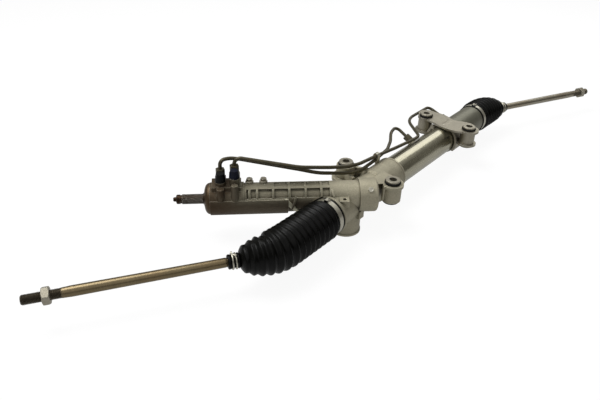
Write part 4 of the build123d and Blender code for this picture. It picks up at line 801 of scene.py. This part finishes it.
def make_large_clamp(end, sizes, metal):
    """A crimped band: a rounded strip carried round the cuff, standing off in a dimpled ear at the top.

    The ear's height is a smooth step up and down round the top, less a smaller one in its middle.
    """
    ear_span, ramp, dimple_span, dimple, waist = 0.135, 0.045, 0.06, 0.32, 0.18
    angle = full_turn(288)
    turn = np.abs((angle + np.pi) % (2.0 * np.pi) - np.pi)
    stand = smooth((ear_span - turn) / ramp)
    ear = (stand - smooth(1.0 - turn / dimple_span) * dimple) * sizes.ear_height
    strip = np.array([
        (-1.0, 0.15), (-1.0, 0.8), (-0.95, 1.0), (0.95, 1.0),
        (1.0, 0.8), (1.0, 0.15), (0.95, 0.0), (-0.95, 0.0),
    ])
    width = strip[:, 0, None] * sizes.band_width / 2.0 * (1.0 - waist * stand)
    radius = CUFF_R + BAND_GAP + strip[:, 1, None] * sizes.band_thickness + ear
    spoke = spokes(angle, *across(end["out"]))
    centre = np.array([end["clamp_x"], 0.0, 0.0])
    points = centre + width[..., None] * end["out"] + radius[..., None] * spoke
    band = surface(f"clamp_band_{end['side']}", points, True, 30.0)
    band.data.materials.append(metal)
    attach(band, "housing")
    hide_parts(f"boot_clamp_large_{end['side']}")


def make_wire_clamp(end, sizes, metal):
    """A spring wire clamp: two turns side by side with a step between them, and both ends bent outwards.

    Along the wire the angle grows evenly, the station makes a smooth step half way and the radius grows
    smoothly at both tails.
    """
    wire = sizes.wire_radius
    start, pitch, tail_lift, past = 54.4 * MM, 5.0 * MM, 2.6 * MM, 0.35
    share = np.linspace(0.0, 1.0, 260)
    sweep = share * (4.0 * np.pi + 2.0 * past) - past
    station = start + pitch * smooth((share - 0.46) / 0.08)
    tail = np.maximum(smooth(1.0 - share / 0.03), smooth((share - 0.97) / 0.03))
    radius = SMALL_CUFF_R + WIRE_GAP + wire + tail * tail_lift
    spoke = spokes(sweep, *across(end["rod"]))
    path = end["ball"] + end["rod"] * station[:, None] + spoke * radius[:, None]
    clamp = swept(f"clamp_wire_{end['side']}", path, wire)
    clamp.data.materials.append(metal)
    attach(clamp, f"clamp_{end['side']}")
    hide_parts(f"boot_clamp_small_{end['side']}")


def make_tie_rod(end, sizes, steel):
    """A tie rod turned from its ball to its tip, less a helical thread on its last stretch.

    The thread cuts the profile by a triangle wave of the station over the pitch less the angle round, faded
    in at the shank and out at the chamfered tip. Inside the nut the rod keeps below the nut's own thread.
    """
    nut_end = end["nut"] + NUT_THICK
    ball = np.linspace(-0.5 * np.pi, math.acos(NECK_R / BALL_R), 22)
    swing = np.stack([np.sin(ball), np.cos(ball)], 1) * BALL_R
    swing[0, 1] = 0.0
    neck = np.array([(12.0, 6.3), (49.0, 6.3), (66.6, 6.3), (67.4, 6.5), (68.2, 6.85), (70.0, 6.95)]) * MM
    shank = np.stack([np.linspace(71.0 * MM, 266.0 * MM, 40), np.linspace(6.95 * MM, SHANK_R, 40)], 1)
    share = np.linspace(0.0, 1.0, 9)
    fade = np.stack([(267.5 + 12.0 * share) * MM, SHANK_R - 0.45 * MM * smooth(share)], 1)
    thread = np.linspace(THREAD_START, ROD_END, 420)
    chamfer, run_out, tip_gap = 1.6 * MM, 2.0 * MM, 0.4 * MM
    full = np.minimum(THREAD_R, THREAD_R - (thread - ROD_END + chamfer))
    station = np.concatenate([swing[:, 0], neck[:, 0], shank[:, 0], fade[:, 0], thread, [ROD_END]])
    radius = np.concatenate([swing[:, 1], neck[:, 1], shank[:, 1], fade[:, 1], full, [0.0]])
    angle = full_turn(64)
    phase = station[:, None] / sizes.thread_pitch - angle / (2.0 * np.pi)
    wave = np.abs(2.0 * (phase - np.floor(phase + 0.5)))
    cut = smooth((station - THREAD_START - 0.5 * MM) / run_out) * smooth((ROD_END - tip_gap - station) / MM)
    under_nut = smooth((station - end["nut"] + MM) / MM) * smooth((nut_end + MM - station) / MM)
    cut = np.minimum(cut + 0.35 * under_nut, 1.0)
    carved = radius[:, None] - cut[:, None] * sizes.thread_depth * wave
    carved = np.where(under_nut[:, None] > 0.5, np.minimum(carved, NUT_THREAD_R), carved)
    carved[0] = 0.0
    carved[-1] = 0.0
    spoke = spokes(angle, *across(end["rod"]))
    points = end["ball"] + station[:, None, None] * end["rod"] + carved[..., None] * spoke
    rod = surface(f"threaded_rod_{end['side']}", points, False, 50.0)
    rod.data.materials.append(steel)
    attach(rod, f"rod_{end['side']}")
    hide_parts(f"tie_rod_{end['side']}")


def make_bush_rubber(place, sizes, rubber):
    """A bonded bush: a sleeve of rubber whose two lips bulge out over the boss like half rounds.

    A lip's radius is the bore's and a height times the sine of its angle, raised to a power below one.
    """
    gap, lip, power = 0.2 * MM, 1.55 * MM, 0.7
    low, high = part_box(f"bush_rubber_{place}")
    centre = [(low[0] + high[0]) / 2.0, (low[1] + high[1]) / 2.0, 0.0]
    boss_top = (32.0 if place.startswith("tower") else 32.5) * MM
    boss_foot = 1.0 * MM
    bulge = np.linspace(0.0, np.pi, 13)
    top_mid, top_half = (boss_top + high[2]) / 2.0, (high[2] - boss_top) / 2.0 - gap
    low_mid, low_half = (low[2] + boss_foot) / 2.0, (boss_foot - low[2]) / 2.0 - gap
    round_lip = BUSH_BORE_R + lip * np.sin(bulge) ** power
    upper = np.stack([top_mid - top_half * np.cos(bulge), round_lip], 1)
    lower = np.stack([low_mid - low_half * np.cos(bulge), round_lip], 1)
    lower[:3, 1] = np.linspace(9.6, 12.4, 3) * MM
    upper[-3:, 1] = np.linspace(12.6, 11.2, 3) * MM
    bore, waist_r = SLEEVE_R + 0.06 * MM, BUSH_BORE_R - 0.05 * MM
    inside = np.array([(high[2], bore), (low[2], bore)])
    waist = np.array([(boss_foot + gap, waist_r), (boss_top - gap, waist_r)])
    loop = np.concatenate([lower, waist, upper, inside])
    bush = turned(f"bush_lip_{place}", loop, centre, UP, sizes.turned_steps)
    bush.data.materials.append(rubber)
    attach(bush, "housing")
    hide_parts(f"bush_rubber_{place}")


def make_bolt(name, foot, axis, shape, metal):
    """A flanged hexagon bolt head: a washer face, then a hexagon whose corners are cut back by a cone.

    Its shape is the width across flats, the flange's radius and the height, in mm. Round the head the radius
    is half the flats over the cosine of the angle from the nearest flat, capped by the cone.
    """
    flats, flange, height = np.array(shape) * MM
    angle = full_turn(96)
    off = (angle + np.pi / 6.0) % (np.pi / 3.0) - np.pi / 6.0
    hexagon = flats / 2.0 / np.cos(off)
    part = np.array([-0.1, 0.0, 0.13, 0.22, 0.25, 0.86, 0.95, 1.0, 1.0, 0.93, 0.92])
    cap = flats / 2.0 * np.array([9, 9, 9, 9, 1.17, 1.17, 1.08, 0.97, 0.62, 0.55, 0.0])
    base = np.array([0, 1, 1, 0.94], float) * flange
    radius = np.minimum(hexagon, cap[:, None])
    radius[:4] = base[:, None]
    radius[-1] = 0.0
    spoke = spokes(angle, *across(axis))
    points = np.asarray(foot) + (part * height)[:, None, None] * unit(axis) + radius[..., None] * spoke
    bolt = surface(name, points, False, 28.0)
    bolt.data.materials.append(metal)
    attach(bolt, "housing")


def make_slant_rib(metal):
    """A cast rib laid slantwise over the barrel's flank, its section a rounded rectangle less at the ends.

    Station and angle round the barrel run evenly along it; the section's two sides are the cosine and sine of
    one angle, each raised to a power below one half.
    """
    half_wide, half_high, power = 3.5 * MM, 2.0 * MM, 0.45
    along, round_it = 0.72, 0.69 / (24.0 * MM)
    share = np.linspace(0.0, 1.0, 41)
    size = (1.0 - np.abs(2.0 * share - 1.0) ** 9) ** 0.5
    station = (103.0 - 23.0 * share) * MM
    lift = np.radians(22.0 - 62.0 * share)
    turn = full_turn(32)
    wide = np.sign(np.cos(turn)) * np.abs(np.cos(turn)) ** power * half_wide
    high = np.sign(np.sin(turn)) * np.abs(np.sin(turn)) ** power * half_high
    radius = BARREL_R + high * size[:, None]
    over = station[:, None] + along * wide * size[:, None]
    lean = lift[:, None] - round_it * wide * size[:, None]
    spoke = np.cos(lean)[..., None] * TOWER_FLANK + np.sin(lean)[..., None] * UP
    rib = surface("slant_rib", TOWER_FOOT + over[..., None] * TOWER_ALONG + radius[..., None] * spoke)
    rib.data.materials.append(metal)
    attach(rib, "housing")


# ------------------------------------------------------------------ operators
def sizes_of(context):
    """The sizes in use."""
    return context.scene.rack_sizes


FINISHES = {}


class RACK_OT_finishes(bpy.types.Operator):
    """Mixes every finish and gives each carried-over part its own"""

    bl_idname = "rack.finishes"
    bl_label = "Mix Finishes"

    def execute(self, context):
        c = context.scene.rack_colours
        rack = ((0.0, 0.0, 0.0), (1.0, 0.0, 0.0))
        tower = (TOWER_FOOT, TOWER_ALONG)
        left, right = ENDS["left"], ENDS["right"]
        recipes = {
            "cast_aluminium": cast_finish(c.casting, c.stain_and_shade, c.grime_and_shade, c.worn),
            "rubbed_casting": plated_finish(c.rubbed, EVEN, 0.5, 500.0, 0.3),
            "machined_aluminium": turned_finish(c.machined, *rack, 0.42, 1100.0, 0.75),
            "zinc_tube": plated_finish(c.zinc, (14.0, 1.0, 1.0), 0.10, 420.0),
            "zinc_bracket": plated_finish(c.bracket, EVEN, 0.36, 150.0, 0.24),
            "bush_rubber": rubber_finish(c.bush, 0.52, 0.7),
            "boot_rubber": rubber_finish(c.rubber, 0.27, 0.10),
            "seal_rubber": rubber_finish(c.seal, 0.5, 0.2),
            "rod_left": rod_finish(c.rod_left, c.thread, left),
            "rod_right": rod_finish(c.rod_right, c.thread, right),
            "rod_steel": plated_finish(c.bracket, EVEN, 0.34, 300.0, 0.26),
            "gear_steel": turned_finish(c.gear, *tower, 0.30, 1400.0),
            "rack_steel": turned_finish(c.bearing, *rack, 0.22, 1500.0),
            "bearing_steel": turned_finish(c.bearing, *tower, 0.22, 1600.0),
            "pipe_steel": pipe_finish(c.pipe),
            "clip_steel": plated_finish(c.clip, EVEN, 0.24, 380.0, 0.2),
            "cover_steel": turned_finish(c.cover_reflection_brown, *tower, 0.40, 800.0, 0.7),
            "black_cap": plastic_finish(c.black_cap, 0.38),
            "blue_cap": plastic_finish(c.blue_cap, 0.36, (0.20, 0.24, 0.34)),
            "bearing_plastic": plastic_finish(c.plastic, 0.42, (0.8, 0.78, 0.7)),
        }
        FINISHES.update({slot: finish_of(f"{slot}_finish", recipe) for slot, recipe in recipes.items()})
        slots = {part["node"]: part["material_slot"] for part in frame["record"]["subparts"]}
        along_rack = ("rack_bar", "ball_socket", "lock_washer")
        for name, node in frame["nodes"].items():
            finish = FINISHES["rack_steel" if name.startswith(along_rack) else slots[name]]
            node.data.materials.clear()
            node.data.materials.append(finish)
        return {"FINISHED"}


class RACK_OT_boots(bpy.types.Operator):
    """Makes both bellows boots"""

    bl_idname = "rack.boots"
    bl_label = "Boots"

    def execute(self, context):
        for end in ENDS.values():
            make_boot(end, sizes_of(context), FINISHES["boot_rubber"])
        return {"FINISHED"}


class RACK_OT_clamps(bpy.types.Operator):
    """Makes the crimped bands and the spring wire clamps"""

    bl_idname = "rack.clamps"
    bl_label = "Boot Clamps"

    def execute(self, context):
        for end in ENDS.values():
            make_large_clamp(end, sizes_of(context), FINISHES["clip_steel"])
            make_wire_clamp(end, sizes_of(context), FINISHES["clip_steel"])
        return {"FINISHED"}


class RACK_OT_tie_rods(bpy.types.Operator):
    """Makes both threaded tie rods"""

    bl_idname = "rack.tie_rods"
    bl_label = "Tie Rods"

    def execute(self, context):
        for side, end in ENDS.items():
            make_tie_rod(end, sizes_of(context), FINISHES[f"rod_{side}"])
        return {"FINISHED"}


class RACK_OT_bushes(bpy.types.Operator):
    """Makes the rubber of the four mounting bushes"""

    bl_idname = "rack.bushes"
    bl_label = "Bush Rubbers"

    def execute(self, context):
        for place in ("tower_outer", "tower_inner", "cylinder_outer", "cylinder_inner"):
            make_bush_rubber(place, sizes_of(context), FINISHES["bush_rubber"])
        return {"FINISHED"}


class RACK_OT_bolts(bpy.types.Operator):
    """Makes the small bolts on the castings and the bracket"""

    bl_idname = "rack.bolts"
    bl_label = "Small Bolts"

    def execute(self, context):
        aside, crown = 7.0 * MM, 26.0 * MM
        for number, station in enumerate((135.0, 157.0), 1):
            foot = TOWER_FOOT + TOWER_ALONG * station * MM - TOWER_FLANK * aside
            foot[2] = TOWER_FOOT[2] + crown
            make_bolt(f"crown_bolt_{number}", foot, UP, (9.0, 6.0, 5.2), FINISHES["rod_steel"])
        shoulder = np.array([-189.0, -36.2, 35.6]) * MM
        make_bolt("shoulder_bolt", shoulder, (-0.5, -0.5, 0.707), (8.0, 5.2, 4.0), FINISHES["clip_steel"])
        saddle = np.array([125.5, 22.0, 21.8]) * MM
        make_bolt("saddle_bolt", saddle, (-1.0, 0.0, 0.0), (8.0, 5.0, 3.6), FINISHES["rod_steel"])
        return {"FINISHED"}


class RACK_OT_rib(bpy.types.Operator):
    """Makes the slanted rib on the tower's flank"""

    bl_idname = "rack.rib"
    bl_label = "Slanted Rib"

    def execute(self, context):
        make_slant_rib(FINISHES["rubbed_casting"])
        return {"FINISHED"}


class RACK_OT_studio(bpy.types.Operator):
    """Sets the floor, the soft lights, the surroundings and the camera"""

    bl_idname = "rack.studio"
    bl_label = "Studio"

    def execute(self, context):
        scene = context.scene
        half_side, gap = 9.0, 2.0 * MM
        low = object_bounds()[0][2]
        corners = np.array([(-1, -1), (1, -1), (1, 1), (-1, 1)], float) * half_side
        mesh = bpy.data.meshes.new("floor")
        mesh.from_pydata([(x, y, low - gap) for x, y in corners], [], [(0, 1, 2, 3)])
        floor = bpy.data.objects.new("floor", mesh)
        mesh.materials.append(floor_finish(scene.rack_colours.floor))
        scene.collection.objects.link(floor)
        floor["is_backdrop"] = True

        lamps = {
            "key_softbox": ((-0.55, 0.75, 1.6), (0.0, 0.0, 0.0), 1.0, 19.0),
            "fill_softbox": ((-1.6, -1.2, 1.0), (-0.1, 0.0, 0.0), 1.4, 3.0),
            "rim_softbox": ((1.5, 0.3, 1.0), (0.1, 0.0, 0.0), 0.8, 4.0),
        }
        for name, (place, aim, size, power) in lamps.items():
            lamp = bpy.data.lights.new(name, "AREA")
            lamp.shape = "SQUARE"
            lamp.size = size
            lamp.energy = power
            holder = bpy.data.objects.new(name, lamp)
            holder.location = place
            holder.rotation_euler = (Vector(aim) - Vector(place)).to_track_quat("-Z", "Y").to_euler()
            scene.collection.objects.link(holder)

        world = bpy.data.worlds.new("studio_world")
        world.use_nodes = True
        scene.world = world
        net = Net(world.node_tree)
        direction = net.node("ShaderNodeTexCoord", output="Generated")
        height = net.node("ShaderNodeSeparateXYZ", None, {0: direction}, output="Z")
        bands = [
            (0.0, (0.40, 0.40, 0.39)), (0.50, (0.20, 0.19, 0.17)), (0.55, (0.05, 0.046, 0.038)),
            (0.70, (0.07, 0.066, 0.056)), (0.79, (0.42, 0.415, 0.40)), (1.0, (0.95, 0.95, 0.93)),
        ]
        room = net.node("ShaderNodeValToRGB", {"stops": bands}, {0: height * 0.5 + 0.5})
        far_side = (0.78, 0.62, 0.0)
        behind = net.dot(direction, far_side)
        room = net.mix(net.step(behind, 0.1, 0.5) * net.step(height, 0.5, 0.2), room, (0.33, 0.325, 0.30))
        eye = net.node("ShaderNodeLightPath", output="Is Camera Ray")
        clear = net.node("ShaderNodeLightPath", output="Is Transmission Ray")
        gloss = net.node("ShaderNodeLightPath", output="Is Glossy Ray")
        dim = net.node("ShaderNodeBackground", None, {"Color": (1.0, 1.0, 1.0, 1.0), "Strength": 0.24})
        shiny = net.node("ShaderNodeBackground", None, {"Color": room, "Strength": 1.0})
        white = net.node("ShaderNodeBackground", None, {"Color": (1.0, 1.0, 1.0, 1.0), "Strength": 1.0})
        lit = net.node("ShaderNodeMixShader", None, {0: gloss, 1: dim, 2: shiny})
        seen = net.node("ShaderNodeMixShader", None, {0: net.sum("MAXIMUM", eye, clear), 1: lit, 2: white})
        net.node("ShaderNodeOutputWorld", None, {"Surface": seen})

        eye_point = Vector((-0.85037, -0.42614, 0.48824))
        right = Vector((0.6395, -0.7684, 0.0255)).normalized()
        forward = Vector((0.6603, 0.5320, -0.5301)).normalized()
        above = right.cross(forward).normalized()
        right = forward.cross(above).normalized()
        lens = bpy.data.cameras.new("camera")
        lens.sensor_width = 36.0
        lens.lens = 33.6
        camera = bpy.data.objects.new("camera", lens)
        turn = Matrix((right, above, -forward)).transposed().to_4x4()
        camera.matrix_world = Matrix.Translation(eye_point) @ turn
        scene.collection.objects.link(camera)
        scene.camera = camera
        scene.view_settings.view_transform = "Standard"
        return {"FINISHED"}


class RACK_PT_builder(bpy.types.Panel):
    """Lists the sizes, the colours and the steps of the steering rack"""

    bl_idname = "RACK_PT_builder"
    bl_label = "Steering Rack"
    bl_space_type = "VIEW_3D"
    bl_region_type = "UI"
    bl_category = "Steering Rack"

    def draw(self, context):
        layout = self.layout
        for group in (context.scene.rack_sizes, context.scene.rack_colours):
            box = layout.box()
            for key in group.__annotations__:
                box.prop(group, key)
        for operator in OPERATORS:
            layout.operator(operator.bl_idname)


OPERATORS = (
    RACK_OT_finishes, RACK_OT_boots, RACK_OT_clamps, RACK_OT_tie_rods, RACK_OT_bushes, RACK_OT_bolts,
    RACK_OT_rib, RACK_OT_studio,
)
CLASSES = (RackSizes, RackColours, *OPERATORS, RACK_PT_builder)


def register():
    for cls in CLASSES:
        bpy.utils.register_class(cls)
    bpy.types.Scene.rack_sizes = PointerProperty(type=RackSizes)
    bpy.types.Scene.rack_colours = PointerProperty(type=RackColours)


def unregister():
    del bpy.types.Scene.rack_colours
    del bpy.types.Scene.rack_sizes
    for cls in reversed(CLASSES):
        bpy.utils.unregister_class(cls)


def main():
    """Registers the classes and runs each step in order."""
    register()
    for operator in OPERATORS:
        group, step = operator.bl_idname.split(".")
        getattr(getattr(bpy.ops, group), step)()


if __name__ == "__main__":
    main()
